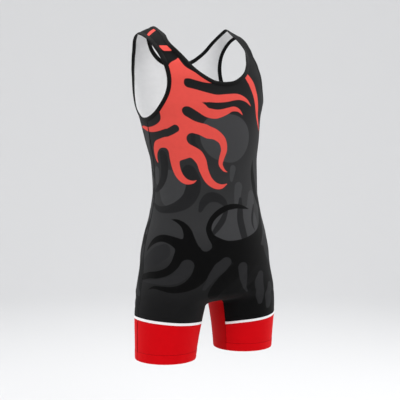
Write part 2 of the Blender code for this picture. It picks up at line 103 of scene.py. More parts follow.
# ---- the finished edges on the wearer's left half: x, y and height under the strap tops
NECK_COLS = ("x", "y", "z")
NECK = (
    (0.0000, -0.1470, -0.1400), (0.0250, -0.1470, -0.1375), (0.0450, -0.1440, -0.1295), (0.0655, -0.1360, -0.1170),
    (0.0800, -0.1260, -0.1020), (0.0895, -0.1120, -0.0870), (0.0960, -0.0970, -0.0720), (0.0995, -0.0790, -0.0565),
    (0.1020, -0.0610, -0.0405), (0.1045, -0.0400, -0.0230), (0.1075, -0.0200, -0.0090), (0.1095, 0.0000, -0.0030),
    (0.1075, 0.0200, -0.0100), (0.1020, 0.0320, -0.0220), (0.0925, 0.0400, -0.0365), (0.0820, 0.0480, -0.0520),
    (0.0680, 0.0530, -0.0660), (0.0490, 0.0580, -0.0790), (0.0260, 0.0620, -0.0870), (0.0000, 0.0630, -0.0895),
)
ARM_COLS = ("x", "y", "z")
ARM = (
    (0.1540, 0.0000, -0.0275), (0.1535, -0.0250, -0.0330), (0.1515, -0.0450, -0.0430), (0.1500, -0.0600, -0.0565),
    (0.1465, -0.0740, -0.0715), (0.1450, -0.0860, -0.0865), (0.1443, -0.0960, -0.1015), (0.1445, -0.1045, -0.1165),
    (0.1455, -0.1105, -0.1310), (0.1470, -0.1125, -0.1460), (0.1495, -0.1110, -0.1610), (0.1530, -0.1065, -0.1760),
    (0.1570, -0.0980, -0.1905), (0.1605, -0.0850, -0.2060), (0.1630, -0.0650, -0.2190), (0.1640, -0.0440, -0.2265),
    (0.1640, -0.0220, -0.2275), (0.1615, -0.0040, -0.2200), (0.1570, 0.0090, -0.2065), (0.1500, 0.0220, -0.1880),
    (0.1430, 0.0350, -0.1600), (0.1390, 0.0440, -0.1350), (0.1380, 0.0480, -0.1130), (0.1385, 0.0490, -0.0950),
    (0.1405, 0.0470, -0.0760), (0.1440, 0.0420, -0.0580), (0.1495, 0.0350, -0.0420), (0.1530, 0.0190, -0.0310),
)
SIDE_COLS = ("h", "behind_axis")   # the side seam on the figure
SIDE = ((-0.03, 0.012), (0.10, 0.0135), (0.20, 0.018), (0.30, 0.022), (0.42, 0.020), (0.50, 0.013), (0.56, 0.004), (0.62, 0.001))
LINE_COLS = ("turn", "h")          # the upper edge of the stripe round the leg, degrees outward from the front
LINE = ((-130.0, 0.0810), (-90.0, 0.0800), (-70.0, 0.0830), (-35.0, 0.0910), (10.0, 0.0970), (55.0, 0.1020),
        (90.0, 0.1035), (125.0, 0.1015), (180.0, 0.0940), (235.0, 0.0820))
RIDE = 0.0065          # how much higher the right leg's band seam has ridden on the leg, and the left one's lower


def column(table, k):
    t = np.array(table, float)
    return t[:, 0], t[:, k]


def smooth(x, y, at):
    """A curve through the points that never overshoots them."""
    at = np.clip(np.asarray(at, float), x[0], x[-1])
    d = np.diff(y) / np.diff(x)
    m = np.zeros_like(y)
    m[0], m[-1] = d[0], d[-1]
    for i in range(1, len(y) - 1):
        if d[i - 1] * d[i] > 0:
            p, q = x[i] - x[i - 1], x[i + 1] - x[i]
            m[i] = 3 * (p + q) / ((2 * q + p) / d[i - 1] + (q + 2 * p) / d[i])
    i = np.clip(np.searchsorted(x, at, side="right") - 1, 0, len(x) - 2)
    w = x[i + 1] - x[i]
    s = (at - x[i]) / w
    return ((1 + 2 * s) * (1 - s) ** 2 * y[i] + s * (1 - s) ** 2 * w * m[i]
            + s * s * (3 - 2 * s) * y[i + 1] + s * s * (s - 1) * w * m[i + 1])


_rings = {n: column(RINGS, k) for k, n in enumerate(RING_COLS) if k}
_legs = {n: column(LEGS, k) for k, n in enumerate(LEG_COLS) if k}
_axis = {n: column(AXIS, k) for k, n in enumerate(AXIS_COLS) if k}


def ring(name, h):
    return smooth(*_rings[name], h)


def leg(name, h):
    return smooth(*_legs[name], h)


def trunk(x, y, h):
    up = np.maximum(h, TRUNK_LOW)
    v = y - ring("centre_y", up)
    b = np.where(v < 0, ring("front", up), ring("back", up))
    n = np.where(v < 0, ring("front_power", up), ring("back_power", up))
    g = (np.abs(x) / ring("half_width", up)) ** n + (v / b) ** 2 + (np.maximum(TRUNK_LOW - h, 0) / TRUNK_DROP) ** 2
    return (np.sqrt(g) - 1) * 0.11


def thigh(x, y, h):
    g = ((x - leg("centre_x", h)) / leg("half_width", h)) ** 2 + ((y - leg("centre_y", h)) / leg("half_depth", h)) ** 2
    return (np.sqrt(g) - 1) * 0.085


def soft_min(p, q, k):
    s = np.clip(0.5 + 0.5 * (q - p) / k, 0, 1)
    return q * (1 - s) + p * s - k * s * (1 - s)


def figure(p):
    """Under 0 inside the figure."""
    x, y, h = p[..., 0], p[..., 1], p[..., 2]
    body = trunk(x, y, h)
    legs = soft_min(thigh(x, y, h), thigh(-x, y, h), 0.014)
    fade = np.clip((h - 0.14) / 0.17, 0, 1)
    return soft_min(body, legs + fade * fade * (3 - 2 * fade) * 0.045, BLEND)


def slope(p):
    e = 2e-5
    g = np.stack([(figure(p + d) - figure(p - d)) / (2 * e) for d in np.eye(3) * e], -1)
    return g


def settle(p, keep_x=False):
    """The point moved straight onto the figure's surface."""
    p = np.array(p, float)
    for _ in range(12):
        g = slope(p)
        if keep_x:
            g[..., 0] = 0
        p = p - figure(p)[..., None] * g / np.maximum((g * g).sum(-1, keepdims=True), 1e-6)
    return p


def outward(p):
    g = slope(p)
    return g / np.linalg.norm(g, axis=-1, keepdims=True)


def cast(origin, way, reach=0.34, steps=48):
    """Where a line from inside first leaves the figure."""
    lo = np.zeros(origin.shape[:-1])
    hi = np.full(lo.shape, reach)
    done = np.zeros(lo.shape, bool)
    for k in range(1, steps + 1):
        t = reach * k / steps
        out = figure(origin + way * t) > 0
        new = out & ~done
        lo = np.where(new, reach * (k - 1) / steps, lo)
        hi = np.where(new, t, hi)
        done |= out
    for _ in range(26):
        mid = (lo + hi) / 2
        out = figure(origin + way * mid[..., None]) > 0
        hi = np.where(out, mid, hi)
        lo = np.where(out, lo, mid)
    return origin + way * hi[..., None]


def axis(h):
    return np.stack([smooth(*_axis["x"], h), smooth(*_axis["y"], h), h], -1)


def at(turn, h):
    """The surface point at that turn about the axis, degrees outward from the front, and that height."""
    turn, h = np.broadcast_arrays(np.asarray(turn, float), np.asarray(h, float))
    r = np.radians(turn)
    return cast(axis(h), np.stack([np.sin(r), -np.cos(r), np.zeros_like(r)], -1))


def turn_of(p, middle):
    """The turn of each point about the axis, within half a circle of the middle one."""
    a = axis(p[..., 2])
    t = np.degrees(np.arctan2(p[..., 0] - a[..., 0], -(p[..., 1] - a[..., 1])))
    return (t - middle + 180) % 360 - 180 + middle


def flat(p, middle):
    """Where a point lies when the half of the garment is laid out: sideways by its turn, upwards by its height."""
    return np.stack([np.radians(turn_of(p, middle)) * 0.13, p[..., 2]], -1)


def unflat(q):
    return at(np.degrees(q[..., 0] / 0.13), q[..., 1])


# ---- lines on the surface
def lengths(p):
    return np.concatenate([[0], np.cumsum(np.linalg.norm(np.diff(p, axis=0), axis=1))])


def even(p, step):
    """The line with its points evenly spaced."""
    s = lengths(p)
    n = max(2, int(round(s[-1] / step)) + 1)
    q = np.linspace(0, s[-1], n)
    return np.stack([np.interp(q, s, p[:, k]) for k in range(p.shape[1])], 1)


def soften(p, rounds, loop):
    for _ in range(rounds):
        if loop:
            p = (np.roll(p, 1, 0) + 2 * p + np.roll(p, -1, 0)) / 4
        else:
            p = np.vstack([p[:1], (p[:-2] + 2 * p[1:-1] + p[2:]) / 4, p[-1:]])
    return p


def edge_line(table, loop):
    p = np.array(table, float) + (0, 0, TOP)
    if loop:
        p = np.vstack([p, p[:1]])
    s = lengths(p)
    q = np.linspace(0, s[-1], 420)
    fine = np.stack([smooth(s, p[:, k], q) for k in range(3)], 1)
    if loop:
        return settle(soften(fine[:-1], 60, True))
    mirror = fine[1:60][::-1] * (-1, 1, 1), fine[-60:-1][::-1] * (-1, 1, 1)
    fine = soften(np.vstack([mirror[0], fine, mirror[1]]), 60, False)[59:-59]
    fine[0, 0] = fine[-1, 0] = 0
    return settle(fine)


def shift(p, by, loop=False, middle=False):
    """The line moved sideways along the surface: to its left as seen from outside. Its ends stay on the middle plane."""
    if loop:
        t = np.roll(p, -1, 0) - np.roll(p, 1, 0)
    else:
        t = np.gradient(p, axis=0)
    if middle:
        t[[0, -1], 1:] = 0
    t /= np.linalg.norm(t, axis=1, keepdims=True)
    parts = max(1, int(abs(by) / 0.002))
    for _ in range(parts):
        n = outward(p)
        side = np.cross(n, t)
        p = settle(p + side * by / parts)
        if middle:
            p[[0, -1], 0] = 0
    return p


def cross(a, b):
    """Where two flat lines first cross: the place on each."""
    d, e = np.diff(a, axis=0)[:, None], np.diff(b, axis=0)[None]
    w = b[None, :-1] - a[:-1, None]
    den = d[..., 0] * e[..., 1] - d[..., 1] * e[..., 0]
    den = np.where(np.abs(den) < 1e-15, np.inf, den)
    s = (w[..., 0] * e[..., 1] - w[..., 1] * e[..., 0]) / den
    t = (w[..., 0] * d[..., 1] - w[..., 1] * d[..., 0]) / den
    hit = np.argwhere((s >= -1e-9) & (s <= 1 + 1e-9) & (t >= -1e-9) & (t <= 1 + 1e-9) & np.isfinite(den))
    if not len(hit):
        raise ValueError("two lines that should meet don't")
    i, j = hit[0]
    return i + s[i, j], j + t[i, j]


def part_of(p, start, end):
    """The line from one place on it to another, which may be the earlier one."""
    if start > end:
        return part_of(p, end, start)[::-1]
    n = np.arange(math.ceil(start + 1e-6), math.floor(end - 1e-6) + 1)
    ends = [p[int(k)] + (p[min(int(k) + 1, len(p) - 1)] - p[int(k)]) * (k - int(k)) for k in (start, end)]
    inner = p[n]
    return np.vstack([ends[0][None], inner, ends[1][None]])


def clear_of_ends(line, least=0.0006):
    """The line without the points that nearly touch one of its two ends."""
    inner = line[1:-1]
    near = np.minimum(np.linalg.norm(inner - line[0], axis=1), np.linalg.norm(inner - line[-1], axis=1))
    return np.vstack([line[:1], inner[near > least], line[-1:]])


def outline(lines, around):
    """One closed outline from lines that cross their neighbours, each cut where it meets the next."""
    laid = [flat(line, around) for line in lines]
    cuts = [cross(laid[k], laid[(k + 1) % len(lines)]) for k in range(len(lines))]
    done = [part_of(line, cuts[k - 1][1], cuts[k][0]) for k, line in enumerate(lines)]
    for k, line in enumerate(done):
        if abs(line[-1, 0]) < 1e-9:      # the middle line is exact where another runs off it
            done[(k + 1) % len(done)][0] = line[-1]
    return np.vstack([clear_of_ends(line)[:-1] for line in done])


def inside(poly, q):
    hit = np.zeros(len(q), bool)
    for a, b in zip(poly, np.roll(poly, -1, 0)):
        over = (a[1] > q[:, 1]) != (b[1] > q[:, 1])
        x = (b[0] - a[0]) * (q[:, 1] - a[1]) / (b[1] - a[1] if b[1] != a[1] else 1) + a[0]
        hit ^= over & (q[:, 0] < x)
    return hit


def far_from(poly, q, gap):
    best = np.full(len(q), 9.0)
    for a, b in zip(poly, np.roll(poly, -1, 0)):
        d = b - a
        t = np.clip(((q - a) @ d) / max(d @ d, 1e-12), 0, 1)
        best = np.minimum(best, np.linalg.norm(q - a - t[:, None] * d, axis=1))
    return best > gap




def fill(line, size, around):
    """(points, faces) of the surface inside a closed outline."""
    poly = flat(line, around)
    lo, hi = poly.min(0), poly.max(0)
    rows = int((hi[1] - lo[1]) / (size * 0.866)) + 2
    cols = int((hi[0] - lo[0]) / size) + 3
    j, i = np.mgrid[0:rows, 0:cols]
    q = np.stack([lo[0] + (i + 0.5 * (j % 2)) * size, lo[1] + j * size * 0.866], -1).reshape(-1, 2)
    q = q[inside(poly, q)]
    q = q[far_from(poly, q, size * 0.5)]
    pts = np.vstack([poly, q])
    out = delaunay_2d_cdt([tuple(v) for v in pts], [], [list(range(len(poly)))], 1, 1e-9)
    if len(out[0]) != len(pts):
        raise ValueError("an outline crosses itself")
    points = np.vstack([line, unflat(q)])
    order = [src[0] for src in out[3]]
    return points[order], np.array([f[:3] for f in out[2]])


# ---- the seams of the wearer's left half
half = GAP / 2


def n_of(length):
    return max(1, int(round(length / STEP)))


def over_middle(p):
    """The half line carried on past the middle plane at both ends."""
    n = n_of(0.062)
    return np.vstack([p[1:n + 1][::-1] * (-1, 1, 1), p, p[-n - 1:-1][::-1] * (-1, 1, 1)])


def stations(start, end, step=2.2):
    n = int(math.ceil((end - start) / step))
    return np.linspace(start, end, n + 1)


def line_level(t):
    """How high the stripe's upper edge is at a turn round the leg."""
    return smooth(*column(LINE, 1), (t + 130) % 360 - 130)


def round_leg(start, end, drop):
    t = stations(start, end)
    return at(t, line_level(t) - drop)


def down_leg(turn, nudge):
    """A line down the inner thigh from the middle plane to under the hem, at one turn moved round by a small distance."""
    turn = turn + np.degrees(nudge / 0.085)
    h = np.linspace(0.24, -0.015, 1021)
    p = at(np.full(h.shape, turn), h)
    top = int(np.argmax(p[:, 0] > 0))
    first = p[top] + (p[top] - p[top + 1]) * min(3.0, p[top, 0] / max(p[top + 1, 0] - p[top, 0], 1e-5))
    first[0] = 0
    first = settle(first, keep_x=True)
    return even(np.vstack([first, p[top:]]), STEP)


def shoulder(y):
    """The shoulder seam over the strap, from the neck side to the arm side."""
    x = np.linspace(0.100, 0.172, 28)
    o = np.stack([x, np.full(x.shape, y), np.full(x.shape, 0.745)], 1)
    return cast(o, np.broadcast_to((0.0, 0.0, 1.0), o.shape), reach=0.12)


def side_seam():
    found = []
    heights = np.linspace(-0.012, 0.625, 150)
    for h in heights:
        t = np.linspace(70, 130, 61)
        p = at(t, np.full(t.shape, h))
        found.append(np.interp(axis(np.array(h))[1] + smooth(*column(SIDE, 1), h), p[:, 1], t))
    found = soften(np.array(found)[:, None], 40, False)[:, 0]
    return even(at(found, heights), STEP)


def middle_line():
    """The surface on the middle plane, from the front of the chest under the crotch to the upper back."""
    h = np.linspace(0.76, 0.2505, 300)
    o = np.stack([np.zeros_like(h), axis(h)[:, 1], h], 1)
    front = cast(o, np.broadcast_to((0.0, -1.0, 0.0), o.shape))
    back = cast(o, np.broadcast_to((0.0, 1.0, 0.0), o.shape))[::-1]
    r = np.linspace(0, math.pi, 202)[1:-1]
    o = np.broadcast_to((0.0, axis(np.array(0.25))[1], 0.25), (200, 3))
    below = cast(o, np.stack([np.zeros_like(r), -np.cos(r), -np.sin(r)], 1))
    p = even(np.vstack([front, below, back]), STEP)
    p[:, 0] = 0
    return p


neck = even(edge_line(NECK, False), STEP)
neck[[0, -1], 0] = 0
arm = edge_line(ARM, True)
arm = even(np.vstack([arm, arm[:1]]), STEP)[:-1]
neck_seam = shift(neck, -BINDING, middle=True)
arm_seam = shift(arm, -BINDING, loop=True)
side = side_seam()
middle = middle_line()
low = int(np.argmin(arm[:, 2])) + n_of(0.0775)
over = int(np.argmax(neck[:, 2])) + n_of(0.062)
under = int(np.argmin(middle[:, 2]))
BACK_TURN = 360 + INSEAM_BACK


def arm_front(offset):
    p = shift(arm_seam, offset, loop=True)
    return np.vstack([p[-n_of(0.062):], p[:low + n_of(0.0465)]])


def arm_back(offset):
    p = shift(arm_seam, offset, loop=True)
    return np.vstack([p[low - n_of(0.14):], p[:n_of(0.0775)]])


def past_middle(p):
    """The line carried on a little past the middle plane, as it is laid out."""
    return np.vstack([p[0] + (0, 0, 0.004), p])


# ---- the print: where each point of the trunk lies on the pattern, and the shapes on it
def spread(p):
    """(across, h) in centimetres: across is measured round the trunk from the front's middle line, to the wearer's left."""
    h = np.maximum(p[:, 2], 0.17)
    v = p[:, 1] - ring("centre_y", h)
    b = np.where(v < 0, ring("front", h), ring("back", h))
    s = np.arctan2(p[:, 0] / ring("half_width", h), -v / b) * ROUND
    return np.stack([s * 100, p[:, 2] * 100], 1)


def from_back(q):
    """The same places, measured across from the back's middle line instead."""
    reach = math.pi * ROUND * 100
    return np.stack([np.where(q[:, 0] < 0, -reach - q[:, 0], reach - q[:, 0]), q[:, 1]], 1)


# Each stroke runs through places (across, h, radius) in centimetres.
TENDRIL = ((-13.8, 60.6, 2.00), (-15.6, 59.0, 1.40), (-17.6, 57.9, 0.95), (-20.2, 57.2, 0.72), (-23.0, 57.0, 0.58), (-25.8, 57.4, 0.42), (-28.6, 57.6, 0.05))
FLAME = (
    ((-8.6, 74.2, 0.10), (-9.4, 72.6, 0.90), (-10.6, 70.4, 1.80), (-11.8, 67.6, 2.80), (-12.8, 64.4, 3.30), (-13.0, 61.0, 3.50), (-12.2, 57.6, 3.40),
     (-12.0, 54.6, 3.10), (-13.0, 52.2, 2.40)),
    ((-9.8, 71.8, 1.40), (-8.0, 70.6, 1.20), (-6.0, 69.5, 0.85), (-4.2, 68.8, 0.50), (-2.2, 68.2, 0.06)),
    ((-10.8, 65.6, 1.60), (-8.2, 65.9, 1.35), (-5.4, 65.0, 1.20), (-2.6, 64.3, 1.15), (0.2, 64.6, 1.00), (2.8, 64.9, 0.72), (4.8, 64.1, 0.42), (6.2, 62.6, 0.05)),
    ((-8.6, 63.4, 1.50), (-6.2, 61.8, 1.40), (-3.6, 60.9, 1.25), (-1.2, 61.3, 1.00), (0.8, 62.0, 0.70), (2.6, 61.7, 0.42), (4.0, 60.4, 0.05)),
    ((-10.8, 58.6, 2.10), (-8.2, 58.0, 1.90), (-6.0, 56.6, 1.60), (-4.0, 55.9, 1.30), (-2.2, 54.4, 1.05), (-1.7, 52.2, 0.85), (-2.4, 50.2, 0.70),
     (-2.8, 48.6, 0.55), (-2.0, 47.2, 0.32), (-0.9, 46.6, 0.05)),
    ((-12.0, 53.0, 2.20), (-9.6, 51.8, 1.70), (-8.0, 49.6, 1.35), (-7.4, 47.2, 1.15), (-6.4, 45.0, 1.00), (-4.8, 43.6, 0.80), (-3.0, 43.2, 0.55), (-1.2, 43.8, 0.05)),
    ((-14.4, 52.6, 1.90), (-15.2, 50.2, 1.50), (-15.0, 47.8, 1.25), (-14.0, 45.8, 1.00), (-12.4, 44.6, 0.70), (-10.6, 44.4, 0.35), (-9.4, 44.9, 0.05)),
    ((-14.4, 53.4, 1.90), (-17.2, 54.0, 1.40), (-19.8, 53.6, 1.15), (-21.8, 52.0, 0.90), (-22.4, 50.2, 0.55), (-21.8, 48.6, 0.05)),
    TENDRIL,
    ((5.4, 70.4, 0.62), (6.8, 68.2, 0.78), (7.8, 65.6, 0.74), (8.3, 62.8, 0.60), (9.2, 60.2, 0.45), (10.6, 57.8, 0.28), (12.0, 56.0, 0.05)),
)
CUTS = (   # the dark drops let into the flame
    ((-7.8, 68.2, 1.10), (-5.8, 67.5, 1.00), (-3.6, 66.7, 0.75), (-1.2, 66.6, 0.70), (1.4, 67.0, 0.75), (3.6, 67.0, 0.90)),
    ((-4.4, 62.9, 0.75), (-2.4, 62.7, 0.85), (0.0, 63.0, 0.70), (2.4, 63.4, 0.60), (4.4, 62.4, 0.55), (5.8, 60.8, 0.60)),
    ((-9.4, 61.4, 1.30), (-7.8, 60.2, 1.20), (-6.0, 59.2, 0.80), (-4.0, 58.7, 0.70), (-2.0, 58.9, 0.90), (0.2, 59.4, 1.20)),
    ((-13.2, 57.4, 0.90), (-15.0, 56.6, 0.90), (-17.4, 55.9, 0.70), (-20.2, 55.3, 0.80), (-23.8, 55.0, 1.30)),
    ((-9.4, 54.8, 1.50), (-7.8, 54.0, 1.60), (-6.2, 52.6, 1.40), (-5.0, 50.6, 1.10), (-4.6, 48.4, 0.80), (-4.2, 46.6, 0.70), (-3.0, 45.4, 0.80), (-1.4, 45.0, 0.70)),
    ((-18.6, 50.8, 1.30), (-18.8, 48.8, 1.40), (-19.0, 46.4, 1.60), (-19.2, 44.0, 1.80)),
    ((-11.9, 48.4, 1.50), (-11.0, 47.2, 1.70), (-10.0, 46.2, 0.90)),
)
PALE = (   # lighter charcoal discs and drops
    ((-1.8, 55.2, 5.80), (0.2, 54.8, 5.90)),
    ((-17.6, 42.8, 4.50), (-14.4, 42.2, 4.30)),
    ((-23.0, 46.8, 1.20), (-23.4, 44.4, 1.00)),
    ((18.0, 43.8, 3.70), (20.6, 43.2, 3.50)),
    ((20.6, 56.4, 1.40), (19.8, 54.2, 1.10), (19.4, 52.2, 0.50)),
    ((0.8, 47.4, 0.90), (0.4, 45.8, 0.70), (0.2, 44.6, 0.40)),
    ((2.4, 42.8, 1.30), (2.0, 40.8, 1.10), (1.6, 39.0, 0.80), (1.2, 37.4, 0.50)),
    ((7.4, 40.4, 1.40), (6.6, 38.0, 1.50), (5.4, 35.8, 1.20)),
    ((-2.6, 33.6, 3.80), (1.0, 33.6, 3.90), (4.6, 34.2, 3.80)),
)
SHADE = (   # darker waves behind the flame
    ((-25.0, 38.6, 0.36), (-21.2, 37.6, 0.70), (-17.6, 37.8, 1.00), (-14.6, 38.6, 1.40), (-12.2, 40.0, 1.80), (-10.8, 42.2, 2.00), (-10.4, 44.4, 2.00), (-11.4, 46.6, 2.00)),
    ((-19.0, 50.6, 1.50), (-19.2, 48.0, 1.50), (-19.8, 45.6, 1.30), (-21.4, 43.6, 1.00), (-23.6, 42.2, 0.60), (-25.2, 41.8, 0.20)),
    ((-8.6, 37.6, 0.50), (-7.8, 39.4, 1.00), (-6.4, 40.6, 1.20), (-4.4, 40.6, 1.10), (-2.6, 39.6, 0.90), (-1.6, 38.2, 0.40)),
    ((-9.2, 55.8, 0.50), (-9.4, 54.0, 0.55), (-8.6, 52.4, 0.50)),
    ((-1.8, 37.2, 0.50), (-2.8, 35.2, 0.75), (-4.2, 33.4, 0.70), (-5.4, 31.9, 0.45), (-6.0, 31.0, 0.20)),
    ((2.9, 39.8, 0.50), (2.5, 37.6, 0.85), (2.2, 35.2, 1.00), (2.4, 32.8, 1.00), (2.8, 30.4, 0.90)),
    ((13.2, 39.4, 0.30), (15.4, 40.6, 0.85), (18.2, 41.0, 1.20), (21.2, 42.0, 1.25), (23.4, 44.4, 1.00), (24.4, 47.2, 0.55), (24.2, 49.6, 0.05)),
    ((16.2, 51.8, 0.05), (16.8, 49.0, 0.65), (18.4, 46.6, 0.85), (20.6, 45.2, 0.60)),
    ((8.0, 38.0, 0.28), (6.8, 35.8, 0.42), (6.2, 33.6, 0.34), (6.6, 31.8, 0.05)),
)
INK = (   # the black flames over the hips
    ((5.6, 37.2, 0.05), (3.6, 37.8, 0.40), (1.2, 38.2, 0.58), (-1.4, 38.0, 0.68), (-3.8, 37.0, 0.70), (-5.6, 35.4, 0.65),
     (-6.4, 33.4, 0.66), (-6.0, 31.4, 0.85), (-4.6, 29.8, 1.30), (-2.2, 28.2, 1.90), (1.0, 27.6, 2.40), (4.4, 28.2, 2.40), (7.6, 30.0, 1.80),
     (9.8, 32.2, 1.25), (11.2, 34.8, 0.95), (12.0, 37.4, 0.65), (12.4, 39.6, 0.25)),
    ((-16.4, 35.4, 0.05), (-14.4, 35.0, 0.40), (-12.6, 34.0, 0.70), (-11.4, 32.4, 1.05), (-10.8, 30.4, 1.40), (-10.2, 28.4, 1.80), (-9.4, 26.8, 2.20)),
    ((-23.8, 27.0, 0.05), (-22.4, 28.8, 0.50), (-20.4, 30.2, 0.78), (-18.0, 30.8, 0.85), (-15.4, 30.4, 1.00), (-13.0, 29.4, 1.40), (-11.2, 28.0, 2.00)),
    ((-12.4, 27.2, 1.60), (-13.6, 24.8, 1.15), (-15.4, 23.0, 1.00), (-18.2, 22.0, 0.90), (-21.4, 21.6, 0.80), (-24.8, 20.8, 0.75), (-28.0, 20.4, 0.60), (-31.0, 20.8, 0.35)),
    ((-9.8, 26.2, 2.20), (-6.6, 26.2, 2.20), (-3.2, 27.0, 1.70), (1.0, 26.4, 2.20), (5.0, 25.8, 2.60), (9.0, 25.2, 2.40), (11.8, 23.8, 1.80)),
    ((-7.0, 25.0, 2.20), (-7.6, 22.6, 1.90), (-8.8, 20.6, 1.60), (-10.8, 19.2, 1.10), (-13.4, 18.6, 0.75), (-16.2, 18.8, 0.50),
     (-18.8, 18.9, 0.32), (-21.0, 18.2, 0.05)),
    ((0.4, 22.6, 1.80), (-1.6, 20.8, 1.80), (-3.4, 18.8, 1.60), (-4.6, 16.8, 1.20)),
    ((30.0, 27.2, 0.05), (27.0, 29.4, 0.65), (23.6, 30.4, 0.95), (19.8, 29.8, 1.30), (15.8, 28.0, 1.90), (12.0, 26.0, 2.20)),
    ((31.0, 20.2, 0.05), (27.0, 20.4, 0.60), (22.4, 21.4, 0.90), (17.8, 23.0, 1.30), (13.4, 25.0, 1.90)),
    ((26.0, 37.4, 0.05), (23.6, 36.2, 0.45), (20.8, 34.8, 0.75), (18.4, 32.8, 1.00), (17.0, 30.2, 1.20)),
    ((8.8, 49.2, 0.05), (8.4, 46.8, 0.65), (8.7, 44.6, 1.00), (9.5, 42.4, 1.10), (10.4, 40.2, 0.95), (11.2, 38.4, 0.70), (11.8, 36.8, 0.50)),
)
INK_CUTS = (   # the fingers of plain cloth that reach into the black
    ((-8.6, 34.8, 0.95), (-8.2, 32.6, 1.10), (-7.6, 30.6, 1.20), (-6.8, 29.0, 1.25)),
)
DROP = (   # grey drops on the black
    ((-17.0, 27.6, 1.90), (-19.2, 26.6, 2.20), (-21.8, 25.2, 1.80), (-24.8, 23.6, 1.00)),
    ((-10.8, 24.3, 1.60), (-11.8, 22.6, 1.60), (-13.4, 21.2, 1.25), (-16.0, 20.5, 0.85), (-19.0, 20.2, 0.50), (-22.4, 20.0, 0.20), (-25.0, 19.8, 0.05)),
    ((-2.2, 24.8, 1.25), (-3.6, 23.4, 1.40), (-5.0, 21.8, 1.00), (-5.8, 20.2, 0.65), (-6.6, 18.6, 0.45)),
    ((2.0, 23.2, 1.20), (2.3, 21.2, 1.10), (2.8, 19.3, 0.75), (3.4, 17.8, 0.45), (4.2, 16.6, 0.15)),
    ((7.6, 20.6, 0.90), (7.2, 18.8, 1.20), (7.5, 16.8, 1.00), (8.4, 14.8, 0.70), (8.8, 13.0, 0.35)),
    ((10.6, 17.4, 0.80), (10.5, 15.4, 1.15), (10.9, 13.4, 1.00), (11.0, 11.8, 0.60)),
    ((20.0, 27.2, 1.60), (22.4, 26.2, 1.60), (25.4, 24.8, 1.00), (28.2, 23.6, 0.35)),
    ((15.6, 20.2, 1.15), (17.0, 18.4, 1.30), (19.2, 17.0, 0.90), (21.8, 16.4, 0.30)),
    ((11.4, 29.2, 1.15), (11.4, 26.8, 1.60), (13.0, 24.4, 1.40), (14.4, 22.2, 0.80), (15.0, 20.6, 0.25)),
)
FLAME_JOIN, INK_JOIN, CUT_JOIN = 1.1, 0.7, 0.35


def through(rows, n=9):
    """A smooth run of places through the rows of one stroke."""
    p = np.array(rows, float)
    ends = np.vstack([2 * p[0] - p[1], p, 2 * p[-1] - p[-2]])
    out = []
    for a, b, c, d in zip(ends[:-3], ends[1:-2], ends[2:-1], ends[3:]):
        t = np.linspace(0, 1, n, endpoint=False)[:, None]
        out.append(0.5 * (2 * b + (c - a) * t + (2 * a - 5 * b + 4 * c - d) * t ** 2 + (3 * b - a - 3 * c + d) * t ** 3))
    out = np.vstack(out + [p[-1:]])
    out[:, 2] = np.maximum(out[:, 2], 0.02)
    return out


def join(a, b, k):
    """The smaller of two distances, with a soft change from one to the other."""
    if k <= 0:
        return np.minimum(a, b)
    w = np.clip(0.5 + 0.5 * (b - a) / k, 0, 1)
    return b * (1 - w) + a * w - k * w * (1 - w)


def away_from(q, strokes, k=0.0):
    """The distance from each place to the strokes' edge in centimetres, under 0 inside."""
    total = np.full(len(q), 99.0)
    for rows in strokes:
        line = through(rows)
        best = np.full(len(q), 99.0)
        reach = line[:, 2].max() + 2.5
        lo, hi = line[:, :2].min(0) - reach, line[:, :2].max(0) + reach
        near = ((q > lo) & (q < hi)).all(1)
        if not near.any():
            continue
        w = q[near]
        d = np.full(len(w), 99.0)
        for a, b in zip(line[:-1], line[1:]):
            e = b[:2] - a[:2]
            t = np.clip(((w - a[:2]) @ e) / max(e @ e, 1e-9), 0, 1)
            d = np.minimum(d, np.linalg.norm(w - a[:2] - t[:, None] * e, axis=1) - (a[2] + t * (b[2] - a[2])))
        best[near] = d
        total = join(total, best, k)
    return np.minimum(total, 3.0)


def flame(q):
    return -join(-away_from(q, FLAME, FLAME_JOIN), away_from(q, CUTS), CUT_JOIN)


def strap_marks(q, x):
    """The plain coral bars across the straps."""
    across, h = q[:, 0], q[:, 1]
    bar = np.maximum(np.abs(h - 76.7) - 0.68, np.abs(across + 9.9 + 0.43 * (h - 76.7)) - 1.15)
    tip = away_from(q, (((-15.0, 79.4, 0.30), (-14.6, 80.5, 0.80), (-14.8, 81.6, 1.15)),))
    return np.where(x < 0, np.minimum(bar, tip), 3.0)


BASE_COLS = ("h", "tone")
BASE = ((0.0, 0.010), (13.0, 0.010), (17.0, 0.013), (21.0, 0.020), (27.0, 0.033), (34.0, 0.042), (42.0, 0.038), (50.0, 0.032),
        (58.0, 0.023), (64.0, 0.016), (72.0, 0.008), (75.0, 0.0030), (83.0, 0.0030))


def print_on(p, back):
    """The print's layers at points of one panel. The back repeats the front's design, turned to the other shoulder."""
    q = spread(p)
    seen = q
    if back:
        q = from_back(q) * (-1, 1)
    coral = flame(q)
    if back:
        coral = np.minimum(coral, away_from(seen, (TENDRIL,)))
    else:
        coral = np.minimum(coral, strap_marks(q, p[:, 0]))
    tone = smooth(*column(BASE, 1), q[:, 1])
    left_leg = np.clip((q[:, 0] + 4.5) / 3.0, 0, 1) * np.clip((29.5 - q[:, 1]) / 6.0, 0, 1)
    tone = tone * (1 - left_leg) + 0.0030 * left_leg
    return {"print_base": tone, "print_shade": away_from(q, SHADE), "print_pale": away_from(q, PALE), "print_ink": -join(-away_from(q, INK, INK_JOIN), away_from(q, INK_CUTS), 0.2),
            "print_drop": away_from(q, DROP), "print_coral": coral, "cloth": q}


